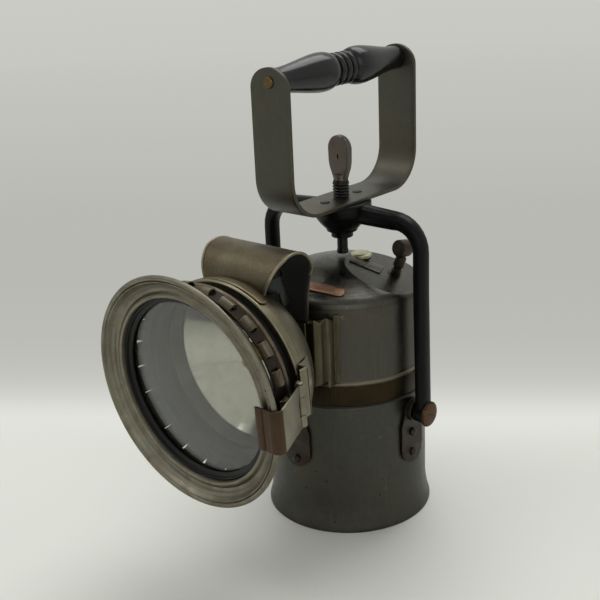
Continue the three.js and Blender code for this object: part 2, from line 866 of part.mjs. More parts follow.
function valveScrew() {
  const shank = turned([[0, -valveShankBelow], [valveShankRadius, -valveShankBelow],
    [valveShankRadius, valveNeckStart], [valveNeckRadius, valveNeckStart], [valveNeckRadius, valveNeckTop],
    [0, valveNeckTop]]);
  const paddle = rod(valvePaddleRadius, -valvePaddleThickness / 2, valvePaddleThickness / 2, mediumCount)
    .rotateX(Math.PI / 2).translate(0, 0, valvePaddleHeight).rotateZ(radians(valvePaddleDegrees));
  const stem = rod(valveStemRadius, valveNeckTop - valvePaddleThickness / 2, valvePaddleHeight);
  return atValve(join(shank, stem, paddle));
}

function valveGuide() {
  const top = -tankWall - gap;
  return atValve(ring(valveShankRadius + gap, guideRadius, top - guideLength, top, smallCount));
}

function valveNeedle() {
  const reach = (valveFoot - dripTop) / Math.cos(flatSlope) - 2 * gap;
  const top = -valveShankBelow - gap;
  const shoulder = -reach + needleTipLength;
  return atValve(turned([[0, -reach], [needleRadius, shoulder], [needleRadius, top], [0, top]], smallCount));
}

function headBracket() {
  const edge = tankRadius + gap;
  const half = Math.asin(bracketHalfWidth / edge) * 180 / Math.PI;
  const lip = -channelFront - lipThickness;
  const face = outline([...arc(0, 0, edge, -90 - half, -90 + half, 10), [bracketHalfWidth, lip],
    [lipHalfOpening, lip], [lipHalfOpening, -channelFront], [channelHalfWidth, -channelFront],
    [channelHalfWidth, -channelBack], [-channelHalfWidth, -channelBack], [-channelHalfWidth, -channelFront],
    [-lipHalfOpening, -channelFront], [-lipHalfOpening, lip], [-bracketHalfWidth, lip]]);
  const beadTop = tankFloorTop + beadHeight;
  const beadClear = rod(beadRadius + gap, bracketBottom - overrun, beadTop + gap, roundCount);
  const gasHole = rod(gasPipeRadius + gap, 0, channelFront + overrun).rotateX(Math.PI / 2)
    .translate(0, 0, gasOutletHeight);
  return cut(raised(face, bracketBottom, bracketTop), beadClear, gasHole);
}

function gasPipe() {
  const route = [[gasRiserY, spigotBottom], [gasRiserY, gasOutletHeight], [nippleY, gasOutletHeight],
    [nippleY, nippleTop]];
  const points = route.map(([y, z]) => new THREE.Vector3(0, y, z));
  const bore = points.map((point) => point.clone());
  bore[0].z -= overrun;
  bore[3].z += overrun;
  return cut(alongPath(points, gasBendRadius, gasPipeRadius), alongPath(bore, gasBendRadius, gasPipeBore, 8));
}

function brassBand() {
  return ring(bandRadius - bandThickness, bandRadius, canHeight + gasketThickness + gap, bandTop);
}

function dripTube() {
  return ring(dripBore, dripRadius, dripBottom, dripTop, smallCount).translate(dripX, dripY, 0);
}

add('tank_crown', tankCrown(), gunmetal);
add('tank_side', tankSide(), gunmetal);
add('tank_floor', tankFloor(), gunmetal);
add('brass_band', brassBand(), brass);
add('drip_tube', dripTube(), brass);
add('label_plate', labelPlate(), copper);
add('crown_plate', crownPlate(), gunmetal);
add('filler_neck', fillerNeck(), paleBrass);
add('filler_washer', fillerWasher(), rubber);
add('filler_cap', fillerCap(), paleBrass);
add('valve_guide', valveGuide(), brass);
add('valve_screw', valveScrew(), rust);
add('valve_needle', valveNeedle(), brass);
add('head_bracket', headBracket(), lampMetal);
add('gas_pipe', gasPipe(), brass);

// Lamp head. Its pieces are drawn in the head's own frame: X to the right, Y back from the
// bezel's front plane, Z up, and turned pieces about the head's axis.
const head = new THREE.Group();
head.position.set(0, headY, headZ);
head.rotation.x = radians(headTiltDegrees);
lamp.add(head);
head.updateMatrixWorld(true);

// A turned piece about the head's axis from [radius, depth] points.
function headTurned(points, count = roundCount) {
  return turned(points, count).rotateX(-Math.PI / 2);
}

function bezelRing() {
  const inside = bezelInner + bezelThickness;
  const step = bezelChannelDepth - bezelRoll;
  return headTurned([...arc(bezelRadius - bezelRoll, bezelRoll, bezelRoll, -135, 135, 6),
    [bezelChannelRadius + bezelRoll, bezelBack], [inside, bezelBack], [inside, sleeveBack],
    [bezelInner, sleeveBack], [bezelInner, bezelInnerDepth], [inside, step], [inside + bezelThickness, step],
    [bezelChannelRadius, bezelChannelDepth],
    [bezelChannelRadius + 2 * bezelRoll, bezelChannelDepth - bezelThickness]]);
}

function glassSeat() {
  const front = bezelInnerDepth + gap;
  return headTurned([[glassRadius - bezelThickness, front], [glassRadius, front],
    [glassRadius, glassSeatDepth], [glassSeatRadius, glassSeatDepth],
    [glassSeatRadius, glassSeatDepth - bezelThickness]]);
}

function lensGlass() {
  const front = glassSeatDepth + gap;
  const back = front + glassThickness;
  const domed = glassRadius * domeRingShare;
  const rise = glassDome * domeRiseShare;
  return headTurned([[0, front - glassDome], [domed, front - rise], [glassSeatRadius - gap, front],
    [glassRadius, front], [glassRadius, back], [domed, back - rise], [0, back - glassDome]]);
}

function glassRetainer() {
  const front = glassSeatDepth + glassThickness + 2 * gap;
  return headTurned([[glassRadius - retainerWidth, front], [glassRadius, front],
    [glassRadius, front + retainerThickness], [glassRadius - retainerWidth, front + retainerThickness]]);
}

function barrelRadius(depth) {
  return barrelFrontRadius - barrelTaper * (depth - barrelFront) / barrelLength;
}

function ventBarrel() {
  const bead = arc(barrelRearRadius - barrelBeadRadius / 2, barrelBeadDepth, barrelBeadRadius, -90, 90, 3);
  const neck = barrelNeckRadius;
  const shell = headTurned([[barrelFrontRadius - barrelWall, barrelFront], [barrelFrontRadius, barrelFront],
    ...bead, [neck, barrelBeadDepth + barrelBeadRadius], [neck, barrelBack], [neck - barrelWall, barrelBack],
    [neck - barrelWall, barrelBeadDepth],
    [barrelRearRadius - barrelWall, barrelBeadDepth - barrelBeadRadius]], 2 * ventCount);
  let body = toSolid(shell);
  const step = 2 * Math.PI / ventCount;
  const outer = barrelRadius(ventDepth);
  const leaning = Math.atan(barrelTaper / barrelLength);
  const louvre = block(-ventSlotLength / 2, ventSlotLength / 2, -ventSlotWidth / 2, ventSlotWidth / 2,
    -barrelWall / 2, louvreHeight);
  const slot = block(-ventSlotLength / 2, ventSlotLength / 2, -ventSlotWidth / 2, ventSlotWidth / 2,
    -barrelWall - overrun, louvreHeight - barrelWall / 2);
  for (let i = 0; i < ventCount; i += 1) {
    const turn = radians(ventPhaseDegrees) + step * i;
    const place = (piece, along) => toSolid(piece.clone().rotateZ(Math.PI / 2).rotateX(-leaning)
      .translate(0, ventDepth, outer).rotateY(Math.PI / 2 - turn - along / outer));
    body = body.add(place(louvre, louvreAside)).subtract(place(slot, ventSlotAside));
  }
  return toGeometry(body);
}

function bowlProfile(inset) {
  const points = [];
  const steps = 5;
  for (let i = 0; i <= steps; i += 1) {
    const depth = bowlFront + (bowlBack - bowlFront) * i / steps;
    const share = (depth - bowlFront) / (bowlDepth + bowlLip);
    points.push([bowlRadius * Math.sqrt(1 - share ** 2) - inset, depth - (i === steps ? inset : 0)]);
  }
  return points;
}

function ellipse(halfWidth, halfDepth, centre) {
  return new THREE.Shape().absellipse(0, centre, halfWidth, halfDepth, 0, 2 * Math.PI);
}

function bowlShell() {
  const outer = bowlProfile(0);
  const inner = bowlProfile(bowlWall).slice(1).reverse();
  const mouth = barrelNeckRadius + gap;
  inner.push([bowlRadius - bowlWall, bowlFront + bowlWall], [mouth, bowlFront + bowlWall]);
  const lip = [[mouth, bowlFront], [bowlRadius + bowlLip / 2, bowlFront],
    [bowlRadius + bowlLip, bowlFront + bowlLip], [bowlRadius, bowlFront + 2 * bowlLip]];
  const shell = headTurned([...lip, ...outer.slice(1), [0, bowlBack], [0, bowlBack - bowlWall], ...inner]);
  const inset = 2 * chimneyWall;
  const flue = raised(ellipse(chimneyHalfWidth - inset, chimneyHalfDepth - inset, chimneyCentre),
    0, bowlRadius + overrun, flueSteps);
  const pipe = rod(burnerHole, bowlBack - bowlWall - overrun, bowlBack + overrun).rotateX(-Math.PI / 2)
    .translate(0, 0, -burnerDrop);
  return cut(shell, flue, pipe);
}

function bowlMass(extra) {
  const outer = bowlProfile(-extra);
  return headTurned([[0, bowlFront], ...outer, [0, outer[outer.length - 1][1]]]);
}

function reflector() {
  const shape = (inset) => {
    const points = [];
    const steps = 6;
    for (let i = 0; i <= steps; i += 1) {
      const radius = reflectorHole + (reflectorRadius - reflectorHole) * i / steps;
      const share = (radius ** 2 - reflectorHole ** 2) / (reflectorRadius ** 2 - reflectorHole ** 2);
      const depth = reflectorBack + (reflectorFront - reflectorBack) * share;
      points.push([radius + inset * reflectorOutShare, depth + inset]);
    }
    return points;
  };
  const rim = [[reflectorRim, reflectorFront], [reflectorRim, reflectorFront + reflectorWall]];
  return headTurned([...shape(0), ...rim, ...shape(reflectorWall).reverse()], mediumCount * 2);
}

function chimneyNeck() {
  const outer = ellipse(chimneyHalfWidth, chimneyHalfDepth, chimneyCentre);
  const inner = ellipse(chimneyHalfWidth - chimneyWall, chimneyHalfDepth - chimneyWall, chimneyCentre);
  const wall = cut(raised(outer, 0, chimneyTop, flueSteps),
    raised(inner, -overrun, chimneyTop + overrun, flueSteps));
  return cut(wall, bowlMass(gap));
}

// Section of the hood's sheet in the head's YZ plane: an arch from the front foot, then the back wall.
function hoodSection(inset) {
  const middle = (hoodFront + hoodRear) / 2;
  const halfDepth = (hoodRear - hoodFront) / 2 - inset;
  const rise = hoodTop - hoodFrontFoot - inset;
  const arch = arc(0, 0, 1, 180, 0, 12).map(([y, z]) => [middle + halfDepth * y, hoodFrontFoot + rise * z]);
  return [...arch, [middle + halfDepth, hoodBackFoot]];
}

function chimneyHood() {
  const section = outline([...hoodSection(0), ...hoodSection(hoodThickness).reverse()]);
  const sheet = sideways(section, -hoodHalfTop, hoodHalfTop);
  const foot = hoodBackFoot - overrun;
  const top = hoodTop + overrun;
  const face = outline([[-hoodBackHalfFoot, foot], [hoodBackHalfFoot, foot], [hoodHalfFoot, hoodFrontFoot],
    [hoodHalfTop, hoodShoulder], [hoodHalfTop, top], [-hoodHalfTop, top], [-hoodHalfTop, hoodShoulder],
    [-hoodHalfFoot, hoodFrontFoot]]);
  return cut(common(sheet, endways(face, 0, hoodRear + overrun)), bowlMass(gap));
}

function hoodSaddle() {
  const saddleBack = saddleFront + saddleWidth;
  const outer = saddleRadius + saddleThickness;
  const shell = headTurned([[saddleRadius, saddleFront], [outer, saddleFront], [outer, saddleBack],
    [saddleRadius, saddleBack]]);
  const reach = bowlRadius + bowlLip + saddleThickness + overrun;
  const wedge = outline([[0, 0], ...arc(0, 0, reach, 90 - saddleHalfDegrees, 90 + saddleHalfDegrees, 8)]);
  return common(shell, endways(wedge, saddleFront - overrun, saddleBack + overrun));
}

add('bezel_ring', bezelRing(), lampMetal, head);
add('glass_seat', glassSeat(), soot, head);
add('lens_glass', lensGlass(), glassClear, head);
add('glass_retainer', glassRetainer(), rubber, head);
add('vent_barrel', ventBarrel(), lampMetal, head);
add('bowl_shell', bowlShell(), lampMetal, head);
add('reflector', reflector(), silver, head);
add('chimney_neck', chimneyNeck(), lampMetal, head);
add('chimney_hood', chimneyHood(), lampMetal, head);
add('hood_saddle', hoodSaddle(), brass, head);

// The slide plate hangs upright in the tank's bracket, so it is drawn in the lamp's frame.
const slideFront = channelBack + gap + slideThickness;

function bowlBackInLamp() {
  return bowlMass(gap).applyMatrix4(head.matrixWorld);
}

function slidePlate() {
  const half = channelHalfWidth - gap;
  const inner = lipHalfOpening - gap;
  const face = outline([[-half, bracketBottom], [half, bracketBottom], [half, slideShoulder],
    [inner, slideTop], [-inner, slideTop], [-half, slideShoulder]]);
  const plate = endways(face, -slideFront, -channelBack - gap);
  const neckBottom = nippleTop + 2 * socketDepth;
  const stem = block(-inner, inner, -slideFront - slideStemReach, -slideFront + slideThickness / 2,
    neckBottom, slideShoulder);
  const pipeSlot = block(-gasPipeRadius - gap, gasPipeRadius + gap, -slideFront - overrun, 0,
    bracketBottom - overrun, gasOutletHeight + gasPipeRadius + gap);
  const hood = block(-hoodHalfTop, hoodHalfTop, headY, -slideFront - hoodThickness * 2,
    slideShoulder, slideTop + overrun);
  return cut(join(plate, stem), pipeSlot, bowlBackInLamp(), hood);
}

// The burner's tail plugs over the nipple and turns forward through the back of the bowl.
function burnerPipe() {
  const mouth = nippleTop - socketDepth;
  const entry = new THREE.Vector3(0, burnerDepth, -burnerDrop).applyMatrix4(head.matrixWorld);
  const back = new THREE.Vector3(0, bowlBack, -burnerDrop).applyMatrix4(head.matrixWorld);
  const slope = (back.z - entry.z) / (back.y - entry.y);
  const corner = new THREE.Vector3(0, nippleY, back.z + (nippleY - back.y) * slope);
  const lower = new THREE.Vector3(0, nippleY, mouth + socketDepth);
  const pipe = alongPath([lower, corner, entry], gasBendRadius, burnerPipeRadius);
  const bore = alongPath([lower.clone().setZ(mouth - overrun), corner,
    entry.clone().add(new THREE.Vector3(0, burnerBodyRadius, burnerBodyRadius * slope))],
  gasBendRadius, burnerPipeBore, 8);
  const socket = rod(socketRadius, mouth, nippleTop + overrun).translate(0, nippleY, 0);
  const seat = rod(gasPipeRadius + gap, mouth - overrun, nippleTop + gap).translate(0, nippleY, 0);
  return cut(join(pipe, socket), bore, seat);
}

function burnerBody() {
  const foot = -burnerDrop + burnerPipeRadius + gap;
  const body = rod(burnerBodyRadius, foot, foot + burnerBodyHeight, smallCount);
  const armReach = tipSpread + tipRadius;
  const arms = block(-armReach, armReach, -tipRadius, tipRadius, foot + burnerBodyHeight - 2 * tipRadius,
    foot + burnerBodyHeight);
  return join(body, arms).translate(0, burnerDepth + burnerBodyRadius, 0);
}

function burnerTip(side) {
  const lean = radians(tipDegrees);
  const seat = -burnerDrop + burnerPipeRadius + gap + burnerBodyHeight;
  return turned([[0, 0], [tipRadius, 0], [tipRadius, tipLength * tipShoulderShare],
    [tipRadius / 2, tipLength], [0, tipLength]], smallCount).rotateY(-side * lean)
    .translate(side * tipSpread, burnerDepth + burnerBodyRadius, seat + tipRadius * Math.sin(lean));
}

add('slide_plate', slidePlate(), lampMetal);
add('burner_pipe', burnerPipe(), brass);
add('burner_body', burnerBody(), brass, head);
add('burner_tip_right', burnerTip(1), steatite, head);
add('burner_tip_left', burnerTip(-1), steatite, head);

// Bezel hinge and catch

function hingePin() {
  const reach = hingeHalfHeight + gap;
  return turned([[0, -reach], [pinRadius, -reach], [pinRadius, reach], [pinHeadRadius, reach],
    [pinHeadRadius, reach + pinHeadHeight], [0, reach + pinHeadHeight]], smallCount)
    .translate(hingeX, hingeDepth, hingeCentreHeight);
}

function knuckle(from, to) {
  return rod(knuckleRadius, from, to, smallCount).translate(hingeX, hingeDepth, hingeCentreHeight);
}

function pinBore() {
  return rod(pinRadius + gap, -hingeHalfHeight - overrun, hingeHalfHeight + overrun, smallCount)
    .translate(hingeX, hingeDepth, hingeCentreHeight);
}

function fixedLeaf() {
  const inner = hingeX - knuckleRadius + leafThickness;
  const turnBack = leafTurn + leafThickness;
  const plate = block(inner - leafThickness, inner, hingeDepth, turnBack,
    hingeCentreHeight - middleKnuckleHalf, hingeCentreHeight + middleKnuckleHalf);
  const wide = block(inner - leafThickness, inner, hingeDepth + knuckleRadius + 2 * gap, turnBack,
    -leafHalfHeight, leafHalfHeight);
  const web = block(barrelNeckRadius - leafThickness, inner, leafTurn, turnBack,
    -leafHalfHeight, leafHalfHeight);
  const seat = common(bowlMass(gap + leafThickness),
    block(barrelNeckRadius / 2, hingeX, leafTurn, leafBack, -leafHalfHeight, leafHalfHeight));
  const leaf = join(knuckle(-middleKnuckleHalf, middleKnuckleHalf), plate, wide, web, seat);
  return cut(leaf, pinBore(), bowlMass(gap));
}

// The strap leaves the pin, slants out to the bezel's edge and wraps over its front.
function hingeStrap() {
  const startX = hingeX + knuckleRadius - leafThickness;
  const section = outline([[startX, hingeDepth], [startX + leafThickness, hingeDepth],
    [wrapSideX + leafThickness, bezelRoll * 2], [wrapSideX + leafThickness, wrapFront],
    [wrapInnerX, wrapFront], [wrapInnerX, wrapFront + leafThickness],
    [wrapSideX, wrapFront + leafThickness], [wrapSideX, bezelRoll * 2]]);
  const sheet = raised(section, -hingeHalfHeight, hingeHalfHeight).translate(0, 0, hingeCentreHeight);
  const clear = middleKnuckleHalf + gap;
  const ends = [knuckle(clear, hingeHalfHeight), knuckle(-hingeHalfHeight, -clear)];
  const middle = block(hingeX - 2 * knuckleRadius, hingeX + 2 * knuckleRadius,
    hingeDepth - knuckleRadius - 2 * gap, hingeDepth + 2 * knuckleRadius,
    hingeCentreHeight - clear, hingeCentreHeight + clear);
  return cut(join(sheet, ...ends), pinBore(), middle);
}

// A spring finger on the bowl's far side, reaching forward to the bezel's back.
function doorCatch() {
  const half = catchWidth / 2;
  const turnBack = leafTurn + catchThickness;
  const finger = block(-catchX - catchThickness, -catchX, bezelBack + gap, turnBack, -half, half);
  const web = block(-catchX - catchThickness, -barrelNeckRadius, leafTurn, turnBack, -half, half);
  const seat = common(bowlMass(gap + catchThickness),
    block(-catchX, -barrelNeckRadius / 2, leafTurn, leafBack, -half, half));
  return cut(join(finger, web, seat), bowlMass(gap));
}

add('hinge_fixed_leaf', fixedLeaf(), lampMetal, head);
add('hinge_pin', hingePin(), rust, head);
add('door_catch', doorCatch(), lampMetal, head);
add('hinge_strap', hingeStrap(), rust, head);

// Yoke, clamp screw and handle

function yokeOutline() {
  const footZ = pivotHeight - yokeEyeRadius;
  const cornerX = legOuterTop - yokeCornerRadius;
  const shoulderZ = yokeTop - yokeShoulderDrop;
  const innerTopX = legOuterTop - legThickness;
  const innerBend = yokeCornerRadius - legThickness;
  const underZ = yokeTop - barThickness;
  const half = [[legOuterFoot, footZ],
    ...arc(cornerX, shoulderZ - yokeCornerRadius, yokeCornerRadius, 0, 90, 6), [bossTopRadius, yokeTop]];
  const inner = [[legOuterFoot - legThickness, footZ], [innerTopX, underZ - innerBend],
    ...arc(innerTopX - innerBend, underZ - innerBend, innerBend, 0, 90, 5).slice(1)];
  const mirror = (points) => points.map(([x, z]) => [-x, z]).reverse();
  return outline([...half, ...mirror(half), ...mirror(inner.slice().reverse()), ...inner.slice().reverse()]);
}

const screwHoleRadius = threadRadius + gap;
const strapRivetHole = strapRivetRadius + gap;

function yoke() {
  const flat = yokeDepth / 2 - yokeBevel;
  const frame = new THREE.ExtrudeGeometry(yokeOutline(), {
    depth: 2 * flat, bevelThickness: yokeBevel, bevelSize: yokeBevel, bevelOffset: -yokeBevel,
    bevelSegments: 1, curveSegments: 1,
  }).translate(0, 0, -flat).rotateX(Math.PI / 2);
  const boss = turned([[0, collarFoot], [collarRadius, collarFoot], [collarRadius, bossFoot],
    [bossFootRadius, bossFoot], [bossWaistRadius, bossWaist], [bossTopRadius, yokeTop - bossRimHeight],
    [bossTopRadius, yokeTop], [0, yokeTop]], mediumCount);
  const legFootInner = legOuterFoot - legThickness;
  const eyes = [1, -1]
    .map((side) => crossRod(yokeEyeRadius, side * legFootInner, side * legOuterFoot, mediumCount)
      .translate(0, 0, pivotHeight));
  const pivotHole = crossRod(pivotShankRadius + gap, -footRadius * 2, footRadius * 2, mediumCount)
    .translate(0, 0, pivotHeight);
  const screwHole = rod(screwHoleRadius, collarFoot - overrun, yokeTop + overrun, mediumCount);
  const rivetHoles = [1, -1]
    .map((side) => rod(strapRivetHole, yokeTop - strapRivetLength - gap, yokeTop + overrun)
      .translate(0, side * strapRivetAt, 0));
  const topClear = block(-legOuterFoot, legOuterFoot, -strapSpan, strapSpan, yokeTop, yokeTop + overrun);
  return cut(join(frame, boss, ...eyes), pivotHole, screwHole, topClear, ...rivetHoles);
}

function handleStrap() {
  const bendAt = strapSpan - strapBend;
  const bendHeight = yokeTop + strapBend;
  const run = (inset) => [[-strapSpan + inset, strapTop],
    ...arc(-bendAt, bendHeight, strapBend - inset, 180, 270, 7),
    ...arc(bendAt, bendHeight, strapBend - inset, 270, 360, 7), [strapSpan - inset, strapTop]];
  const half = strapWidth / 2;
  const sheet = sideways(outline([...run(0), ...run(strapThickness).reverse()]), -half, half);
  const shoulder = strapTop - strapRoundHeight;
  const dome = arc(0, 0, 1, 0, 180, 12).map(([x, z]) => [x * half, shoulder + z * strapRoundHeight]);
  const under = yokeTop - overrun;
  const above = yokeTop + strapThickness + overrun;
  const reach = strapSpan + overrun;
  const mask = endways(outline([[-half, under], [half, under], ...dome]), -reach, reach);
  const screwHole = rod(screwHoleRadius, under, above, mediumCount);
  const gripHoles = rod(gripScrewRadius + gap, -reach, reach).rotateX(Math.PI / 2)
    .translate(0, 0, gripHeight);
  const rivetHoles = [1, -1]
    .map((side) => rod(strapRivetHole, under, above).translate(0, side * strapRivetAt, 0));
  return cut(common(sheet, mask), screwHole, gripHoles, ...rivetHoles);
}

function strapRivet(side) {
  const top = yokeTop + strapThickness;
  return turned([[0, yokeTop - strapRivetLength], [strapRivetRadius, yokeTop - strapRivetLength],
    [strapRivetRadius, top], [strapRivetHeadRadius, top],
    [strapRivetHeadRadius * rivetCrownShare, top + strapRivetHeadHeight],
    [0, top + strapRivetHeadHeight]], smallCount).translate(0, side * strapRivetAt, 0);
}

// Half of the grip's turned outline, from the middle bead out to the end.
function gripHalf() {
  const end = strapSpan - strapThickness - gap;
  const run = end - gripBulbAt;
  const groove = gripBeadPitch / 2;
  const crest = groove * beadCrestShare;
  const neck = gripBeadPitch * beadEndShare;
  return [[gripBeadRadius, 0], [gripBeadRadius, crest], [gripGrooveRadius, groove],
    [gripBeadRadius, gripBeadPitch - crest], [gripBeadRadius, gripBeadPitch + crest],
    [gripGrooveRadius, neck],
    [gripBulbRadius * bulbRiseShare, neck + crest], [gripBulbRadius, gripBulbAt - crest],
    [gripBulbRadius * bulbCrownShare, gripBulbAt + groove],
    [gripBulbRadius * bulbFallShare, gripBulbAt + run * bulbFallAtShare],
    [gripEndRadius * gripWaistShare, gripBulbAt + run * gripWaistAtShare], [gripEndRadius, end]];
}

function handleGrip() {
  const half = gripHalf();
  const end = half[half.length - 1][1];
  const bore = gripScrewRadius + gap;
  const deep = end - gripScrewLength - gap;
  const upper = [...half, [bore, end], [bore, deep], [0, deep]];
  const lower = upper.slice(1).map(([radius, along]) => [radius, -along]).reverse();
  return turned([...lower, ...upper], mediumCount).rotateX(Math.PI / 2).translate(0, 0, gripHeight);
}

function gripScrew(side) {
  const head = slottedHead(gripScrewHeadRadius, gripScrewHeadHeight);
  const shank = rod(gripScrewRadius, -gripScrewLength, gripScrewHeadHeight / 3);
  return join(head, shank).rotateX(side * -Math.PI / 2).translate(0, side * strapSpan, gripHeight);
}

function clampPad() {
  return rod(padRadius, padFoot, padFoot + padHeight, smallCount);
}

function clampScrew() {
  const foot = padFoot + padHeight + gap;
  const core = threadRadius - threadDepth;
  const thread = [];
  const turns = Math.round((threadTop - yokeTop - strapThickness) / threadPitch);
  for (let i = 0; i < turns; i += 1) {
    const height = threadTop - threadPitch * (turns - i);
    thread.push([threadRadius, height], [core, height + threadPitch / 2]);
  }
  const stem = turned([[0, foot], [rodRadius, foot], [rodRadius, threadFoot], [core, threadFoot],
    [threadRadius, threadFoot + threadPitch / 2], ...thread, [core, threadTop], [core, spadeWaist],
    [0, spadeWaist + threadPitch]], threadCount);
  const centre = spadeTop - spadeHalfWidth;
  const root = spadeHalfWidth * spadeRootShare;
  const rootTop = spadeWaist + spadeRootHeight;
  const paddle = outline([[-threadRadius, threadTop - threadPitch], [threadRadius, threadTop - threadPitch],
    [root, rootTop],
    ...arc(0, centre, spadeHalfWidth, -spadeArcDegrees, 180 + spadeArcDegrees, 12), [-root, rootTop]]);
  const half = spadeThickness / 2;
  const hole = rod(spadeHoleRadius, -spadeThickness, spadeThickness).rotateX(Math.PI / 2)
    .translate(0, 0, centre - spadeHoleDrop);
  return join(stem, cut(endways(paddle, -half, half), hole)).rotateZ(radians(spadeTurnDegrees));
}

add('yoke', yoke(), blackEnamel);
add('handle_strap', handleStrap(), strapSteel);
add('strap_rivet_front', strapRivet(-1), strapSteel);
add('strap_rivet_rear', strapRivet(1), strapSteel);
add('handle_grip', handleGrip(), blackWood);
add('grip_screw_front', gripScrew(-1), paleBrass);
add('grip_screw_rear', gripScrew(1), paleBrass);
add('clamp_pad', clampPad(), strapSteel);
add('clamp_screw', clampScrew(), strapSteel);

export default lamp;
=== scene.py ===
"""Looks of a carbide hand lamp: its turned shells, yoke, strap handle, lamp head and worn finishes."""
import math

import bmesh
import bpy
from mathutils import Matrix, Vector


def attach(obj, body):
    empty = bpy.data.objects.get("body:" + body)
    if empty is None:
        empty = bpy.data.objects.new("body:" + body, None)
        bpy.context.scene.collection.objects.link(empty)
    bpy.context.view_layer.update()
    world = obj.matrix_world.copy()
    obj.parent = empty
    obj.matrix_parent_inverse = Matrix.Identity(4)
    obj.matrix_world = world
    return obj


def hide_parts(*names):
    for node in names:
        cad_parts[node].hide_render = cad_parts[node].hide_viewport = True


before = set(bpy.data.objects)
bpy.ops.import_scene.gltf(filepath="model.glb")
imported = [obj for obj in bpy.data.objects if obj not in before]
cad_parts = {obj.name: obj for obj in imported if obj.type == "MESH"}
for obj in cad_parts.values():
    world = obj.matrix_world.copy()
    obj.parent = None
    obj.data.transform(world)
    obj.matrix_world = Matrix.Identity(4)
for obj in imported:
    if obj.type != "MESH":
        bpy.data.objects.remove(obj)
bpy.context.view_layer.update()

# Lengths are millimetres, angles are degrees. Pieces are drawn in millimetres and stored in metres.
MM = 0.001
FINE_TURN = 160
ROUND_TURN = 96
SMALL_TURN = 40
BEVEL_PROFILE = 0.5
AUTO_SMOOTH = 32

# Camera, from the photograph's perspective
CAMERA_TURN = 38.87
CAMERA_DISTANCE = 616.53
CAMERA_HEIGHT = 352.77
CAMERA_ASIDE = 2.53
CAMERA_DOWN = 19.53
CAMERA_ROLL = -2.54
LENS_LENGTH = 63.72
SENSOR_WIDTH = 36

# Carbide can and tank
CAN_RADIUS = 49.2
FOOT_RADIUS = 52
FOOT_FLARE = 20
CAN_HEIGHT = 82.6
CAN_WALL = 1.6
BAND_RADIUS = 49
BAND_FOOT = 83.9
BAND_TOP = 96.2
TANK_RADIUS = 48.6
TANK_FOOT = 97.4
BEAD_RADIUS = 49.8
BEAD_HEIGHT = 1.8
PIVOT_HEIGHT = 73
CROWN_REACH = 88.3
SHOULDER_START = 40.5
SHOULDER_FOOT = 140.5
FLAT_TURN = 24
FLAT_SLOPE = 20
FLAT_TOP = 161.9
CREASE = 0.9
FILLER_PLACE = (4.2, 12.5, 0)
FILLER_TOP = 161.4

# Lamp head: its place, and lengths back from the bezel's front plane
HEAD_PLACE = (0, -137.85, 120.55)
HEAD_TILT = 3.67
BEZEL_RADIUS = 66.5
BEZEL_OPENING = 52.8
SLEEVE_BACK = 14
BARREL_FRONT = 14.3
BARREL_FRONT_RADIUS = 55.6
BARREL_REAR_RADIUS = 53
BEAD_DEPTH = 26
NECK_RADIUS = 48.6
NECK_BACK = 37
VENTS = 22
VENT_PHASE = 9
VENT_DEPTH = 19.2
VENT_LENGTH = 7
VENT_LIFT = 2.8
BOWL_FRONT = 33.7
BOWL_RADIUS = 51.9
BOWL_DEPTH = 41.2
BOWL_BACK = 73
REFLECTOR_FRONT = 46
REFLECTOR_BACK = 69
REFLECTOR_RADIUS = 45.4
REFLECTOR_HOLE = 6
HOOD_FRONT = 45.5
HOOD_REAR = 82.6
HOOD_FOOT = 44.5
HOOD_TOP = 63.6
HOOD_SHOULDER = 61.5
HOOD_BACK_FOOT = 15
HOOD_HALF_FOOT = 22.5
HOOD_HALF_TOP = 29
CHIMNEY_CENTRE = 59.5
CHIMNEY_HALF_WIDTH = 21
CHIMNEY_HALF_DEPTH = 11.5
CHIMNEY_TOP = 50.5
SADDLE_FRONT = 36.6
SADDLE_WIDTH = 7
SADDLE_HALF = 33
HINGE_X = 57.2
HINGE_DEPTH = 29
HINGE_Z = -3
HINGE_HALF = 12
HINGE_NOTCH = 5.3
KNUCKLE_RADIUS = 2.5
STRAP_INNER_X = 53.9
SHEET = 1.1

# Yoke and handle
YOKE_DEPTH = 9.6
LEG_THICKNESS = 7.8
LEG_FOOT_X = 62.2
LEG_TOP_X = 61
PIVOT_SEAT_X = 61.5
YOKE_TOP = 196.2
YOKE_DROP = 1.6
YOKE_CORNER = 22
YOKE_BAR = 11.8
EYE_RADIUS = 6.3
SCREW_HOLE = 5.3
COLLAR_RADIUS = 6.6
COLLAR_FOOT = 174.2
STRAP_THICKNESS = 2
STRAP_WIDTH = 27
STRAP_SPAN = 58.7
STRAP_BEND = 23
STRAP_TOP = 281.4
STRAP_ROUND = 11.5
GRIP_HEIGHT = 273.4
THREAD_RADIUS = 5
THREAD_PITCH = 1.8
THREAD_FOOT = 177
THREAD_TOP = 209
ROD_RADIUS = 3.2
ROD_FOOT = 166.3
SPADE_HALF = 8.2
SPADE_TOP = 235.4
SPADE_TURN = -5


# Places

def shift(x=0, y=0, z=0):
    return Matrix.Translation((x, y, z))


def turn_about(axis, angle):
    return Matrix.Rotation(math.radians(angle), 4, axis)


HEAD = shift(*HEAD_PLACE) @ turn_about("X", HEAD_TILT)
TO_DEPTH = turn_about("X", -90)
TO_RIGHT = turn_about("Y", 90)


# Outlines

def arc(x, y, radius, start, end, steps):
    """Points of an arc, angles in degrees."""
    turns = [math.radians(start + (end - start) * i / steps) for i in range(steps + 1)]
    return [(x + radius * math.cos(t), y + radius * math.sin(t)) for t in turns]


def round_turns(count):
    """Even steps of one whole turn, in radians."""
    return [math.tau * i / count for i in range(count)]


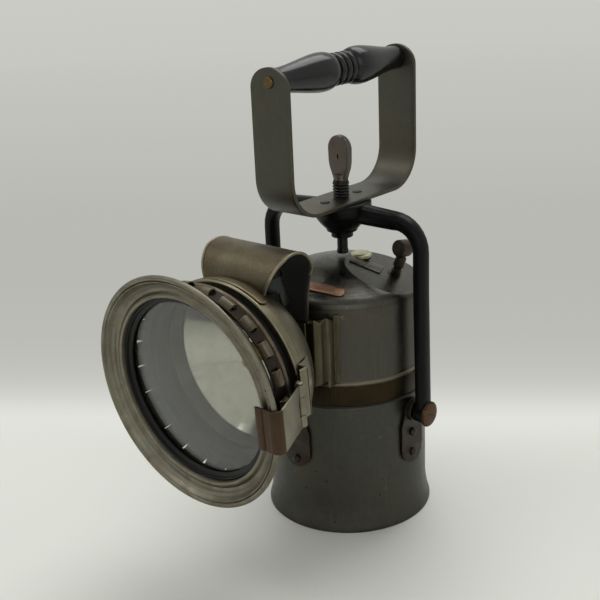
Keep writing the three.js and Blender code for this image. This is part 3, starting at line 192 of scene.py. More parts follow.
def mirrored(points):
    """The same points in the other order on the other side, from (aside, ...) points."""
    return [(-x, *rest) for x, *rest in reversed(points)]


def softened(points, radius, steps=3, closed=False):
    """The outline with its corners rounded by up to the radius."""
    result = []
    count = len(points)
    for i, point in enumerate(points):
        if i in (0, count - 1) and not closed:
            result.append(point)
            continue
        corner = Vector(point)
        before = Vector(points[i - 1]) - corner
        after = Vector(points[(i + 1) % count]) - corner
        first = corner + before.normalized() * min(radius, before.length * 0.45)
        last = corner + after.normalized() * min(radius, after.length * 0.45)
        for k in range(steps + 1):
            share = k / steps
            result.append(tuple(first.lerp(corner, share).lerp(corner.lerp(last, share), share)))
    return result


def curved(points, steps=5):
    """A smooth curve through the points."""
    padded = [Vector(point) for point in (points[0], *points, points[-1])]
    result = []
    for a, b, c, d in zip(padded, padded[1:], padded[2:], padded[3:]):
        for k in range(steps):
            t = k / steps
            result.append(tuple(0.5 * (2 * b + (c - a) * t + (2 * a - 5 * b + 4 * c - d) * t * t
                                       + (3 * b - a - 3 * c + d) * t ** 3)))
    return [*result, points[-1]]


# Meshes

def turned(profile, steps=ROUND_TURN, closed=True):
    """A turned shape about Z from (radius, height) points."""
    bm = bmesh.new()
    verts = [bm.verts.new((r, 0, z)) for r, z in profile]
    edges = [bm.edges.new(pair) for pair in zip(verts, verts[1:])]
    if closed and (profile[0][0] > 0 or profile[-1][0] > 0):
        edges.append(bm.edges.new((verts[-1], verts[0])))
    bmesh.ops.spin(bm, geom=verts + edges, cent=(0, 0, 0), axis=(0, 0, 1), angle=math.tau, steps=steps,
                   use_merge=True)
    bmesh.ops.remove_doubles(bm, verts=bm.verts, dist=0.002)
    bmesh.ops.recalc_face_normals(bm, faces=bm.faces)
    return bm


def lathed(points, soft, steps=SMALL_TURN, closed=False, rounds=3):
    """A turned shape with softened corners."""
    return turned(softened(points, soft, rounds, closed), steps)


def bar(radius, low, high, steps=SMALL_TURN, soft=0.3):
    """A round bar about Z with softened ends."""
    return lathed([(0, low), (radius, low), (radius, high), (0, high)], soft, steps)


def raised(outline, low, high):
    """A flat outline drawn up along Z."""
    bm = bmesh.new()
    face = bm.faces.new([bm.verts.new((x, y, low)) for x, y in outline])
    drawn = bmesh.ops.extrude_face_region(bm, geom=[face])
    top = [v for v in drawn["geom"] if isinstance(v, bmesh.types.BMVert)]
    bmesh.ops.translate(bm, verts=top, vec=(0, 0, high - low))
    bmesh.ops.recalc_face_normals(bm, faces=bm.faces)
    return bm


def box(low, high):
    """A block between two corners."""
    bm = bmesh.new()
    bmesh.ops.create_cube(bm, size=1)
    bmesh.ops.scale(bm, verts=bm.verts, vec=[h - l for l, h in zip(low, high)])
    bmesh.ops.translate(bm, verts=bm.verts, vec=[(h + l) / 2 for l, h in zip(low, high)])
    return bm


def bevelled(bm, width, segments=2, angle=30):
    """Rounds the edges that turn by more than the angle."""
    sharp = [e for e in bm.edges if e.is_manifold and e.calc_face_angle() > math.radians(angle)]
    return rounded_edges(bm, sharp, width, segments)


def rounded_edges(bm, edges, width, segments):
    bmesh.ops.bevel(bm, geom=edges, offset=width, offset_type="OFFSET", affect="EDGES", segments=segments,
                    profile=BEVEL_PROFILE, clamp_overlap=True, material=-1)
    return bm


def sheet(columns, rows, place):
    """A grid bent to shape: place takes its two shares, each from -1 to 1, to a point."""
    bm = bmesh.new()
    bmesh.ops.create_grid(bm, x_segments=columns, y_segments=rows, size=1)
    for vert in bm.verts:
        vert.co = place(vert.co.x, vert.co.y)
    bmesh.ops.recalc_face_normals(bm, faces=bm.faces)
    return bm


def lofted(rings, capped=True):
    """A skin over closed rings of points."""
    bm = bmesh.new()
    loops = []
    for ring in rings:
        verts = [bm.verts.new(p) for p in ring]
        loops.append([bm.edges.new(pair) for pair in zip(verts, verts[1:] + verts[:1])])
    for low, high in zip(loops, loops[1:]):
        bmesh.ops.bridge_loops(bm, edges=low + high)
    if capped:
        bmesh.ops.holes_fill(bm, edges=loops[0] + loops[-1])
    bmesh.ops.recalc_face_normals(bm, faces=bm.faces)
    return bm


def placed(bm, *matrices):
    """Moves a shape by the matrices, the last one first."""
    whole = Matrix.Identity(4)
    for matrix in matrices:
        whole = whole @ matrix
    bm.transform(whole)
    return bm


def stored(bm, name):
    """Turns a shape into a mesh and lets go of it."""
    mesh = bpy.data.meshes.new(name)
    bm.to_mesh(mesh)
    bm.free()
    return mesh


def shown(name, data):
    """An object of the scene."""
    thing = bpy.data.objects.new(name, data)
    bpy.context.scene.collection.objects.link(thing)
    return thing


def joined(*shapes):
    """Puts shapes into one."""
    whole = bmesh.new()
    for shape in shapes:
        mesh = stored(shape, "part")
        whole.from_mesh(mesh)
        bpy.data.meshes.remove(mesh)
    return whole


def made(bm, name, paints, body, slot, replaces=(), smooth=AUTO_SMOOTH):
    """Stores a shape as a finished piece that rides on a body."""
    bmesh.ops.scale(bm, verts=bm.verts, vec=(MM, MM, MM))
    mesh = stored(bm, name)
    mesh.shade_smooth()
    mesh.set_sharp_from_angle(angle=math.radians(smooth))
    for paint_name in [paints] if isinstance(paints, str) else paints:
        mesh.materials.append(PAINTS[paint_name])
    piece = shown(name, mesh)
    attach(piece, body)
    if replaces:
        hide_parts(*replaces)
    return piece


def thickened(piece, thickness, offset=0):
    """Gives a sheet its thickness."""
    wall = piece.modifiers.new("thickness", "SOLIDIFY")
    wall.thickness = thickness * MM
    wall.offset = offset
    return wall


def carved(piece, *cutters):
    """Cuts shapes out of a finished piece."""
    for cutter in cutters:
        bmesh.ops.scale(cutter, verts=cutter.verts, vec=(MM, MM, MM))
        mesh = stored(cutter, "cutter")
        tool = shown("cutter", mesh)
        cut = piece.modifiers.new("cut", "BOOLEAN")
        cut.operation = "DIFFERENCE"
        cut.solver = "EXACT"
        cut.object = tool
        graph = bpy.context.evaluated_depsgraph_get()
        result = bpy.data.meshes.new_from_object(piece.evaluated_get(graph))
        piece.modifiers.remove(cut)
        old = piece.data
        piece.data = result
        result.name = piece.name
        bpy.data.meshes.remove(old)
        bpy.data.objects.remove(tool)
        bpy.data.meshes.remove(mesh)
    piece.data.shade_smooth()
    piece.data.set_sharp_from_angle(angle=math.radians(AUTO_SMOOTH))
    return piece


# Shader nodes

class Net:
    """A shader tree with short calls for its nodes. What feeds a socket is a socket or a plain value."""

    def __init__(self, tree):
        self.tree = tree
        self.place = self.node("TexCoord").outputs["Object"]

    def link(self, source, socket):
        if isinstance(source, bpy.types.NodeSocket):
            self.tree.links.new(source, socket)
        else:
            socket.default_value = source

    def node(self, kind, links=(), **settings):
        added = self.tree.nodes.new("ShaderNode" + kind)
        for key, value in settings.items():
            setattr(added, key, value)
        for socket, source in links:
            self.link(source, added.inputs[socket])
        return added

    def group(self, group, **values):
        return self.node("Group", values.items(), node_tree=group).outputs

    def math(self, operation, *values, clamp=False):
        return self.node("Math", enumerate(values), operation=operation, use_clamp=clamp).outputs[0]

    def times(self, first, second, clamp=False):
        return self.math("MULTIPLY", first, second, clamp=clamp)

    def vector(self, operation, *values):
        """A sum with vectors: a plain value for lengths and dot products, else a vector."""
        sockets = (0, "Scale") if operation == "SCALE" else (0, 1)
        done = self.node("VectorMath", zip(sockets, values), operation=operation)
        return done.outputs["Value" if operation in ("DOT_PRODUCT", "LENGTH") else "Vector"]

    def flat(self, **values):
        return self.node("CombineXYZ", values.items()).outputs[0]

    def noise(self, scale, detail, place=None, **more):
        source = self.place if place is None else place
        links = [("Vector", source), ("Scale", scale), ("Detail", detail), *more.items()]
        return self.node("TexNoise", links).outputs["Fac"]

    def ramp(self, value, low, high):
        """Nought below low, one above high, smooth between."""
        links = [("Value", value), ("From Min", low), ("From Max", high)]
        return self.node("MapRange", links, interpolation_type="SMOOTHSTEP").outputs["Result"]

    def mix(self, factor, first, second):
        return self.node("Mix", [("Factor", factor), (6, first), (7, second)], data_type="RGBA").outputs[2]


def new_group(name, inputs, outputs=("Mask",)):
    """A shader group as its net, what it is given and its end. A default's length tells a socket's kind."""
    group = bpy.data.node_groups.new(name, "ShaderNodeTree")
    kinds = {1: "NodeSocketFloat", 3: "NodeSocketVector", 4: "NodeSocketColor"}
    for label, value in inputs.items():
        kind = kinds[len(value) if isinstance(value, tuple) else 1]
        group.interface.new_socket(label, in_out="INPUT", socket_type=kind).default_value = value
    for label in outputs:
        group.interface.new_socket(label, in_out="OUTPUT", socket_type=kinds[4 if label == "Color" else 1])
    return Net(group), group.nodes.new("NodeGroupInput").outputs, group.nodes.new("NodeGroupOutput").inputs


def edge_wear_group():
    """Mask of rubbed edges, broken up by noise."""
    net, given, end = new_group("edge_wear", {"Radius": 0.0008, "Scale": 120.0, "Amount": 1.0})
    soft = net.node("Bevel", [("Radius", given["Radius"])], samples=4).outputs[0]
    plain = net.node("NewGeometry").outputs["Normal"]
    bent = net.ramp(net.math("SUBTRACT", 1.0, net.vector("DOT_PRODUCT", soft, plain)), 0.01, 0.16)
    broken = net.times(bent, net.ramp(net.noise(given["Scale"], 4.0), 0.35, 0.62))
    net.link(net.times(broken, given["Amount"], True), end["Mask"])
    return net.tree


def patina_group():
    """Blotched colour, roughness and relief of old metal."""
    net, given, end = new_group("patina", {
        "Base": (0.1, 0.1, 0.1, 1), "Blotch": (0.2, 0.15, 0.1, 1), "Spot": (0.03, 0.02, 0.02, 1),
        "Chip": (0.3, 0.27, 0.22, 1), "Scale": 30.0, "Blotches": 0.5, "Spots": 0.3, "Chips": 0.0,
        "Roughness": 0.45, "Unevenness": 0.15}, ("Color", "Roughness", "Height"))
    scale = given["Scale"]
    broad = net.noise(scale, 6.0, Roughness=0.6, Distortion=0.4)
    fine = net.noise(net.times(scale, 14.0), 5.0, Roughness=0.65)

    def flecks(finer, low, high, amount):
        cells = net.node("TexVoronoi", [("Vector", net.place), ("Scale", net.times(scale, finer))])
        middles = net.ramp(net.math("SUBTRACT", 1.0, cells.outputs["Distance"]), low, 0.95)
        return net.times(net.times(middles, net.ramp(fine, 0.5, high)), given[amount], True)

    blotch = net.times(net.ramp(broad, 0.4, 0.68), given["Blotches"], True)
    spots = flecks(9.0, 0.78, 0.65, "Spots")
    spotted = net.mix(spots, net.mix(blotch, given["Base"], given["Blotch"]), given["Spot"])
    chipped = net.mix(flecks(3.0, 0.88, 0.6, "Chips"), spotted, given["Chip"])
    grain = net.math("MULTIPLY_ADD", net.math("SUBTRACT", fine, 0.5), 0.5, 1.0)
    net.link(net.vector("SCALE", chipped, grain), end["Color"])
    uneven = [net.times(net.math("SUBTRACT", noise, 0.5), given["Unevenness"]) for noise in (broad, fine)]
    doubled = net.times(net.math("ADD", *uneven), 2.0)
    net.link(net.math("ADD", given["Roughness"], doubled, clamp=True), end["Roughness"])
    height = net.math("ADD", net.times(broad, 0.5), net.times(fine, 0.5))
    net.link(net.math("SUBTRACT", height, net.times(spots, 0.4)), end["Height"])
    return net.tree


def scratch_group():
    """Mask of fine straight scratches, stretched along Z."""
    net, given, end = new_group("scratches", {"Across": 900.0, "Along": 40.0, "Amount": 0.4})
    scale = net.flat(X=given["Across"], Y=given["Across"], Z=given["Along"])
    noise = net.noise(1.0, 3.0, net.vector("MULTIPLY", net.place, scale))
    net.link(net.times(net.ramp(noise, 0.56, 0.72), given["Amount"], True), end["Mask"])
    return net.tree


def turning_group():
    """Mask of the fine rings that a lathe leaves round an axis."""
    net, given, end = new_group("turning_marks", {"Centre": (0, 0, 0), "Axis": (0, 0, 1), "Scale": 600.0})
    off = net.vector("SUBTRACT", net.place, given["Centre"])
    along = net.vector("DOT_PRODUCT", off, given["Axis"])
    across = net.vector("SUBTRACT", off, net.vector("SCALE", given["Axis"], along))
    rings = net.noise(given["Scale"], 3.0, net.flat(X=net.vector("LENGTH", across), Y=along))
    patches = net.ramp(net.noise(25.0, 2.0), 0.3, 0.6)
    net.link(net.times(net.ramp(rings, 0.42, 0.66), patches, True), end["Mask"])
    return net.tree


EDGE_WEAR = edge_wear_group()
PATINA = patina_group()
SCRATCHES = scratch_group()
TURNING = turning_group()
UPRIGHT = ((0, 0, 0), (0, 0, 1))
HEAD_AXIS = (tuple(MM * value for value in HEAD_PLACE), tuple((HEAD.to_3x3() @ Vector((0, 1, 0)))))


# Finishes

PAINTS = {}


def colour(red, green, blue):
    """A colour from screen values of 0 to 255."""
    shares = [value / 255 for value in (red, green, blue)]
    return (*[s / 12.92 if s <= 0.04045 else ((s + 0.055) / 1.055) ** 2.4 for s in shares], 1)


def new_material(name):
    """A named paint as its net and its shader."""
    material = PAINTS[name] = bpy.data.materials.new(name)
    material.use_nodes = True
    return Net(material.node_tree), material.node_tree.nodes["Principled BSDF"]


def paint(name, base, blotch, spot, edge, scale, roughness, blotches=0.5, spots=0.3, unevenness=0.15,
          metallic=1, edges=0.7, edge_radius=0.0008, scratches=0.2, across=900, along=40, relief=0.12,
          relief_depth=0.0006, chips=0, axis=None, rings=0.35, shine=0.5):
    """A worn finish: patina, rubbed edges and scratches, and lathe rings where it has an axis."""
    net, shader = new_material(name)
    base, blotch, spot, edge = [colour(*tone) for tone in (base, blotch, spot, edge)]
    patina = net.group(PATINA, Base=base, Blotch=blotch, Spot=spot, Chip=edge, Scale=scale, Blotches=blotches,
                       Spots=spots, Chips=chips, Roughness=roughness, Unevenness=unevenness)
    worn = patina["Color"]
    if axis:
        lathe = net.group(TURNING, Centre=axis[0], Axis=axis[1])["Mask"]
        worn = net.mix(net.times(lathe, rings), worn, spot)
    if edges or scratches:
        wear = net.group(EDGE_WEAR, Radius=edge_radius, Amount=edges)["Mask"]
        lines = net.group(SCRATCHES, Amount=scratches, Across=across, Along=along)["Mask"]
        worn = net.mix(net.math("MAXIMUM", wear, lines), worn, edge)
    if relief:
        bump = [("Height", patina["Height"]), ("Strength", relief), ("Distance", relief_depth)]
        net.link(net.node("Bump", bump).outputs["Normal"], shader.inputs["Normal"])
    for socket, source in (("Base Color", worn), ("Roughness", patina["Roughness"]), ("Metallic", metallic),
                           ("Specular IOR Level", shine)):
        net.link(source, shader.inputs[socket])


paint("tank_iron", (70, 71, 66), (84, 79, 70), (30, 27, 23), (124, 114, 98), 22, 0.42, blotches=0.55,
      spots=0.9, unevenness=0.2, edges=0.6, scratches=0.08, chips=0.3)
paint("crown_iron", (76, 76, 70), (92, 84, 72), (40, 34, 28), (150, 134, 112), 26, 0.36, unevenness=0.22,
      edges=0.5, scratches=0.08, chips=0.6, axis=UPRIGHT, rings=0.6)
paint("wall_iron", (74, 74, 69), (88, 81, 71), (38, 33, 28), (160, 142, 120), 24, 0.38, unevenness=0.2,
      edges=0.5, scratches=0.06, chips=0.7)
# The tank's bead, painted lighter than the wall: a painted highlight along its bright line.
paint("bead_painted_highlight", (112, 108, 90), (96, 86, 66), (60, 50, 38), (150, 140, 112), 40, 0.4)
paint("band_bronze", (42, 37, 27), (60, 46, 30), (26, 20, 14), (112, 88, 56), 24, 0.42, edges=0.6,
      scratches=0.1)
paint("head_plate", (126, 122, 102), (108, 98, 76), (52, 42, 32), (158, 146, 120), 34, 0.38, blotches=0.6,
      spots=0.5, unevenness=0.2, axis=HEAD_AXIS, scratches=0.12)
paint("vent_brown", (104, 97, 84), (78, 64, 50), (30, 22, 16), (150, 140, 118), 90, 0.44, blotches=0.7,
      spots=0.6, unevenness=0.2)
# Painted shade: the vent plate painted darker for the barrel's front and the wall between the bridges.
paint("vent_painted_shade", (52, 47, 40), (40, 32, 26), (22, 18, 14), (96, 90, 76), 90, 0.5)
paint("vent_inner", (56, 58, 57), (64, 64, 60), (40, 40, 38), (90, 90, 84), 30, 0.5, edges=0.2)
paint("bezel_plate", (126, 123, 109), (104, 96, 82), (48, 42, 34), (164, 148, 126), 70, 0.4, blotches=0.7,
      spots=0.8, unevenness=0.3, edges=0.9, relief=0.7, axis=HEAD_AXIS, rings=0.5, scratches=0.1)
paint("hood_plate", (98, 91, 75), (84, 72, 56), (46, 36, 28), (170, 160, 132), 34, 0.46, blotches=0.8,
      spots=0.5, unevenness=0.2, scratches=0.1)
paint("hem_plate", (128, 122, 102), (96, 84, 66), (60, 50, 38), (196, 190, 164), 80, 0.4)
paint("saddle_brass", (116, 106, 84), (104, 84, 62), (56, 44, 30), (170, 160, 134), 46, 0.42)
paint("leaf_plate", (128, 124, 108), (108, 98, 80), (64, 54, 42), (176, 168, 146), 60, 0.4, spots=0.5,
      scratches=0.1)
paint("wrap_brown", (76, 60, 48), (58, 50, 44), (34, 26, 20), (112, 92, 74), 60, 0.44, scratches=0.1)
paint("bracket_olive", (82, 78, 62), (66, 58, 45), (40, 32, 24), (150, 142, 116), 60, 0.42, spots=0.5)
paint("rusty_steel", (84, 66, 50), (98, 66, 44), (36, 26, 20), (126, 106, 86), 90, 0.55, blotches=0.7,
      spots=0.5, metallic=0.8, relief=0.3)
paint("valve_brown", (58, 52, 45), (72, 56, 42), (26, 22, 18), (110, 100, 88), 90, 0.45, metallic=0.9,
      relief=0.3)
paint("lug_iron", (58, 55, 50), (66, 52, 42), (26, 22, 18), (120, 90, 66), 70, 0.45, blotches=0.65, spots=0.5)
paint("strap_steel", (80, 80, 73), (92, 86, 73), (40, 34, 28), (116, 88, 68), 24, 0.45, blotches=0.6,
      spots=0.4, edge_radius=0.0006, scratches=0.1)
paint("stud_steel", (48, 46, 42), (62, 54, 44), (26, 22, 18), (90, 80, 66), 60, 0.45)
paint("screw_steel", (92, 87, 81), (92, 76, 66), (36, 30, 26), (150, 142, 130), 60, 0.42, scratches=0.1)
paint("black_steel", (36, 35, 34), (46, 42, 38), (16, 15, 14), (100, 94, 86), 70, 0.4, metallic=0.8)
paint("pale_brass", (190, 188, 162), (168, 158, 122), (100, 90, 64), (214, 208, 184), 90, 0.38)
paint("grip_screw_brass", (104, 86, 56), (86, 66, 42), (44, 34, 24), (160, 140, 104), 90, 0.42)
paint("label_copper", (132, 100, 82), (158, 128, 106), (96, 66, 52), (206, 188, 160), 110, 0.42, edges=1.0)
paint("plain_brass", (150, 124, 78), (124, 96, 60), (70, 50, 34), (184, 160, 112), 60, 0.4)
paint("tinned_sheet", (150, 148, 142), (120, 112, 100), (80, 72, 60), (180, 178, 170), 40, 0.45)
for lacquer, base, rubbed, roughness, scuffs, shine in (
        ("yoke_black", (11, 12, 13), (56, 55, 52), 0.34, 0.05, 0.13),
        ("grip_black", (9, 10, 12), (76, 78, 80), 0.22, 0.06, 0.4),
        ("seat_black", (18, 19, 17), (60, 57, 50), 0.5, 0.1, 0.3)):
    paint(lacquer, base, (16, 17, 18), (34, 33, 30), rubbed, 40, roughness, spots=0.25, unevenness=0.16,
          metallic=0, edges=0.25, edge_radius=0.0006, scratches=scuffs, across=700, along=120, relief=0.1,
          shine=shine)
for soft_matter, base, blotch, scale in (
        ("grey_felt", (140, 134, 116), (112, 104, 86), 200),
        ("seal_rubber", (34, 32, 30), (48, 44, 40), 120),
        ("steatite", (212, 206, 190), (190, 180, 156), 150)):
    paint(soft_matter, base, blotch, blotch, base, scale, 0.85, metallic=0, edges=0, scratches=0, relief=0.4,
          relief_depth=0.001)
paint("soot", (16, 15, 14), (34, 28, 22), (8, 8, 8), (0, 0, 0), 60, 0.75, metallic=0, edges=0, scratches=0,
      relief=0)
paint("silvered", (184, 180, 166), (160, 154, 138), (160, 150, 128), (0, 0, 0), 12, 0.13, blotches=0.4,
      spots=0.0, unevenness=0.05, edges=0, scratches=0, relief=0)


def clear_glass():
    """Slightly dusty window glass."""
    net, shader = new_material("lens_clear")
    dust = net.node("MapRange", [("Value", net.noise(60.0, 6.0)), ("From Min", 0.4), ("From Max", 0.8),
                                 ("To Min", 0.0), ("To Max", 0.06)]).outputs["Result"]
    for socket, source in (("Roughness", dust), ("Base Color", colour(240, 243, 241)),
                           ("Transmission Weight", 1.0), ("IOR", 1.52)):
        net.link(source, shader.inputs[socket])


clear_glass()


# Carbide can and tank

def flare(inset):
    """The foot's outward sweep, from its lip up to the straight wall."""
    shares = [i / 10 for i in range(11)]
    spread = FOOT_RADIUS - CAN_RADIUS
    return [(CAN_RADIUS + spread * (1 - s) ** 2.2 - inset, FOOT_FLARE * s + 1.2) for s in shares]


def can_wall():
    outside = [(FOOT_RADIUS - 0.4, 0), (FOOT_RADIUS, 0.5), *flare(0), (CAN_RADIUS, CAN_HEIGHT - 0.4),
               (CAN_RADIUS - 0.4, CAN_HEIGHT)]
    inside = [(CAN_RADIUS - CAN_WALL, CAN_HEIGHT), *reversed(flare(CAN_WALL)), (FOOT_RADIUS - CAN_WALL, 0)]
    made(turned(outside + inside, FINE_TURN), "can_wall", "tank_iron", "container", "tank_steel",
         ["carbide_container"])


def brass_band():
    profile = [(47.3, BAND_FOOT), (BAND_RADIUS, BAND_FOOT), (BAND_RADIUS, BAND_TOP), (47.3, BAND_TOP)]
    made(lathed(profile, 0.5, FINE_TURN, True), "band", "band_bronze", "tank", "band_brass", ["brass_band"])


def crown_profile():
    steps = 16
    radii = [SHOULDER_START * i / steps for i in range(steps + 1)]
    dome = [(radius, PIVOT_HEIGHT + math.sqrt(CROWN_REACH ** 2 - radius ** 2)) for radius in radii]
    shoulder = [dome[-1], (44.7, 149.1), (47.3, 146.2), (48.4, 143.2), (TANK_RADIUS, SHOULDER_FOOT)]
    return dome[:-1] + curved(shoulder, 4)


def flat_matrix(out=0.0, aside=0.0):
    """Takes a shape drawn about Z to a place on the crown's flat, square to it."""
    drop = FLAT_TOP - math.tan(math.radians(FLAT_SLOPE)) * out
    return turn_about("Z", FLAT_TURN) @ shift(out, aside, drop) @ turn_about("Y", FLAT_SLOPE)


def tank_shell():
    bead_top = TANK_FOOT + BEAD_HEIGHT
    bead = softened([(TANK_RADIUS - 1.4, TANK_FOOT), (BEAD_RADIUS, TANK_FOOT),
                     (BEAD_RADIUS, TANK_FOOT + BEAD_HEIGHT * 0.6), (TANK_RADIUS, bead_top),
                     (TANK_RADIUS, SHOULDER_FOOT - 0.6)], 0.7)
    bm = turned([*bead, *reversed(crown_profile())], FINE_TURN, closed=False)
    plane = flat_matrix()
    cut = bmesh.ops.bisect_plane(bm, geom=bm.verts[:] + bm.edges[:] + bm.faces[:], dist=0.001,
                                 plane_co=plane.translation, plane_no=plane.col[2].xyz, clear_outer=True)
    rim = [e for e in cut["geom_cut"] if isinstance(e, bmesh.types.BMEdge)]
    filled = bmesh.ops.holes_fill(bm, edges=rim, sides=0)
    rounded_edges(bm, list({e for f in filled["faces"] for e in f.edges}), CREASE, 3)
    bmesh.ops.recalc_face_normals(bm, faces=bm.faces)
    for face in bm.faces:
        height = face.calc_center_median().z
        # Faces low on the bead take the bead's painted highlight, faces on the crown take crown_iron, the
        # rest the wall's paint.
        face.material_index = int(height < bead_top) + 2 * int(height > SHOULDER_FOOT + 3)
    piece = made(bm, "tank_shell", ("wall_iron", "bead_painted_highlight", "crown_iron"), "tank", "tank_steel",
                 ["tank_side", "tank_crown"], smooth=40)
    thickened(piece, 1.3, -1)


# Yoke

def yoke_line():
    """Centre line of the bow from the right foot to the left one: x, z, thickness."""
    half = LEG_THICKNESS / 2
    corner_x = LEG_TOP_X - YOKE_CORNER
    corner_z = YOKE_TOP - YOKE_DROP - YOKE_CORNER
    stations = [(x - half, z, LEG_THICKNESS)
                for x, z in ((LEG_FOOT_X, PIVOT_HEIGHT), (LEG_TOP_X + 0.6, 110), (LEG_TOP_X, 150))]
    bends = 8
    for i in range(bends + 1):
        share = i / bends
        thick = LEG_THICKNESS + (YOKE_BAR - LEG_THICKNESS) * share ** 1.5 * 0.75
        t = math.pi / 2 * share
        reach = YOKE_CORNER - thick / 2
        stations.append((corner_x + reach * math.cos(t), corner_z + reach * math.sin(t), thick))
    stations += [(20, YOKE_TOP - 0.5 - YOKE_BAR / 2, YOKE_BAR), (0, YOKE_TOP - YOKE_BAR / 2, YOKE_BAR)]
    return stations + mirrored(stations[:-1])


def rounded_share(value):
    """Swells a circle's sine or cosine towards a rounded square."""
    return math.copysign(abs(value) ** 0.7, value)


def yoke_bow():
    line = yoke_line()
    rings = []
    for i, (x, z, thick) in enumerate(line):
        before, after = line[max(i - 1, 0)], line[min(i + 1, len(line) - 1)]
        along = Vector((after[0] - before[0], 0, after[1] - before[1])).normalized()
        across = Vector((along.z, 0, -along.x)) * thick / 2
        rings.append([Vector((x, YOKE_DEPTH / 2 * rounded_share(math.sin(t)), z))
                      + across * rounded_share(math.cos(t)) for t in round_turns(20)])
    inner = LEG_FOOT_X - LEG_THICKNESS
    eye = [(0, inner), (EYE_RADIUS, inner), (EYE_RADIUS, LEG_FOOT_X), (0, LEG_FOOT_X)]
    eyes = [placed(lathed(eye, 1.2), shift(z=PIVOT_HEIGHT), turn_about("Y", 90 * side)) for side in (1, -1)]
    top = YOKE_TOP
    boss = [(SCREW_HOLE, top), (17.4, top), (18, top - 0.6),
            *curved([(18, top - 3.8), (16.4, 188), (13.4, 183.4), (9.6, 179.4)], 4), (9.3, 178),
            (COLLAR_RADIUS, 177.6), (COLLAR_RADIUS, COLLAR_FOOT), (SCREW_HOLE, COLLAR_FOOT)]
    made(joined(lofted(rings), lathed(boss, 0.5, ROUND_TURN, True), *eyes), "yoke_bow", "yoke_black", "yoke",
         "yoke_black", ["yoke"], smooth=50)


# Handle

def strap_path():
    """Middle line of the strap's U: y, z, and the strap's half-width there."""
    half = STRAP_WIDTH / 2
    inner = STRAP_THICKNESS / 2
    line = []
    steps = 12
    for i in range(steps + 1):
        t = math.pi / 2 * (1 - i / steps)
        z = STRAP_TOP - STRAP_ROUND * (1 - math.sin(t))
        line.append((-STRAP_SPAN + inner, z, max(half * math.cos(t), 0.4)))
    bend = arc(-STRAP_SPAN + STRAP_BEND, YOKE_TOP + STRAP_BEND, STRAP_BEND - inner, 180, 270, 10)
    line += [(y, z, half) for y, z in bend]
    return line + [(0, YOKE_TOP + inner, half)] + mirrored(line)


def handle_strap():
    line = strap_path()
    last = len(line) - 1

    def place(across, along):
        y, z, half = line[round((along + 1) / 2 * last)]
        return across * half, y, z

    piece = made(sheet(8, last, place), "strap", "strap_steel", "yoke", "strap_steel", ["handle_strap"],
                 smooth=60)
    thickened(piece, STRAP_THICKNESS)
    edge = piece.modifiers.new("edges", "BEVEL")
    edge.width = 0.45 * MM
    edge.segments = 2
    edge.limit_method = "ANGLE"
    edge.angle_limit = math.radians(50)


def handle_fittings():
    """Both rivets of the strap and both slotted screws of the grip."""
    top = YOKE_TOP + STRAP_THICKNESS
    rivet = [(0, top - 2), (1.6, top - 2), (1.6, top), (3, top), (2.6, top + 0.6), (0, top + 0.7)]
    for label, side in (("front", -1), ("rear", 1)):
        made(placed(lathed(rivet, 0.3), shift(y=side * 15.3)), f"strap_stud_{label}", "stud_steel", "yoke",
             "strap_steel", [f"strap_rivet_{label}"])
        head = placed(slotted_head(3.3, 1.4, 0.8, 0.7), shift(y=side * STRAP_SPAN, z=GRIP_HEIGHT),
                      turn_about("X", -90 * side), turn_about("Z", 20))
        made(head, f"grip_end_{label}", "grip_screw_brass", "yoke", "pale_brass", [f"grip_screw_{label}"])


def grip():
    end = STRAP_SPAN - STRAP_THICKNESS - 0.3
    half = [(0.0, 9.4), (1.2, 9.1), (2.5, 7.0), (3.8, 9.1), (5.0, 9.4), (6.3, 9.1), (7.6, 7.0), (8.8, 8.6),
            (10.6, 10.1), (13.8, 10.95), (17.2, 11.12), (21.4, 10.9), (29, 9.9), (36.5, 8.7), (43.5, 7.7),
            (50, 7.1), (end, 7.0)]
    line = curved(half, 4)
    bead_shift = 1.6
    upper = [(r, y + bead_shift * (1 - y / end)) for y, r in line]
    lower = [(r, -y + bead_shift * (1 - y / end)) for y, r in reversed(line[1:])]
    bm = placed(turned([(0, -end), *lower, *upper, (0, end)]), shift(z=GRIP_HEIGHT), TO_DEPTH)
    made(bm, "grip_wood", "grip_black", "yoke", "grip_wood", ["handle_grip"], smooth=50)


def slotted_head(radius, height, slot=1.3, depth=1.0):
    """A domed screw head about Z with a slot across X, standing on nought."""
    whole = lathed([(0, 0), (radius, 0), (radius, height * 0.5), (radius * 0.6, height * 0.92), (0, height)],
                   radius * 0.2, rounds=4)
    parts = []
    for origin, kept_side in (((0, slot / 2, 0), (0, 1, 0)), ((0, -slot / 2, 0), (0, -1, 0)),
                              ((0, 0, height - depth), (0, 0, -1))):
        part = whole.copy()
        bmesh.ops.bisect_plane(part, geom=part.verts[:] + part.edges[:] + part.faces[:], dist=0.0005,
                               plane_co=origin, plane_no=kept_side, clear_inner=True)
        bmesh.ops.holes_fill(part, edges=[e for e in part.edges if e.is_boundary], sides=0)
        parts.append(part)
    whole.free()
    return joined(*parts)


# Clamp screw

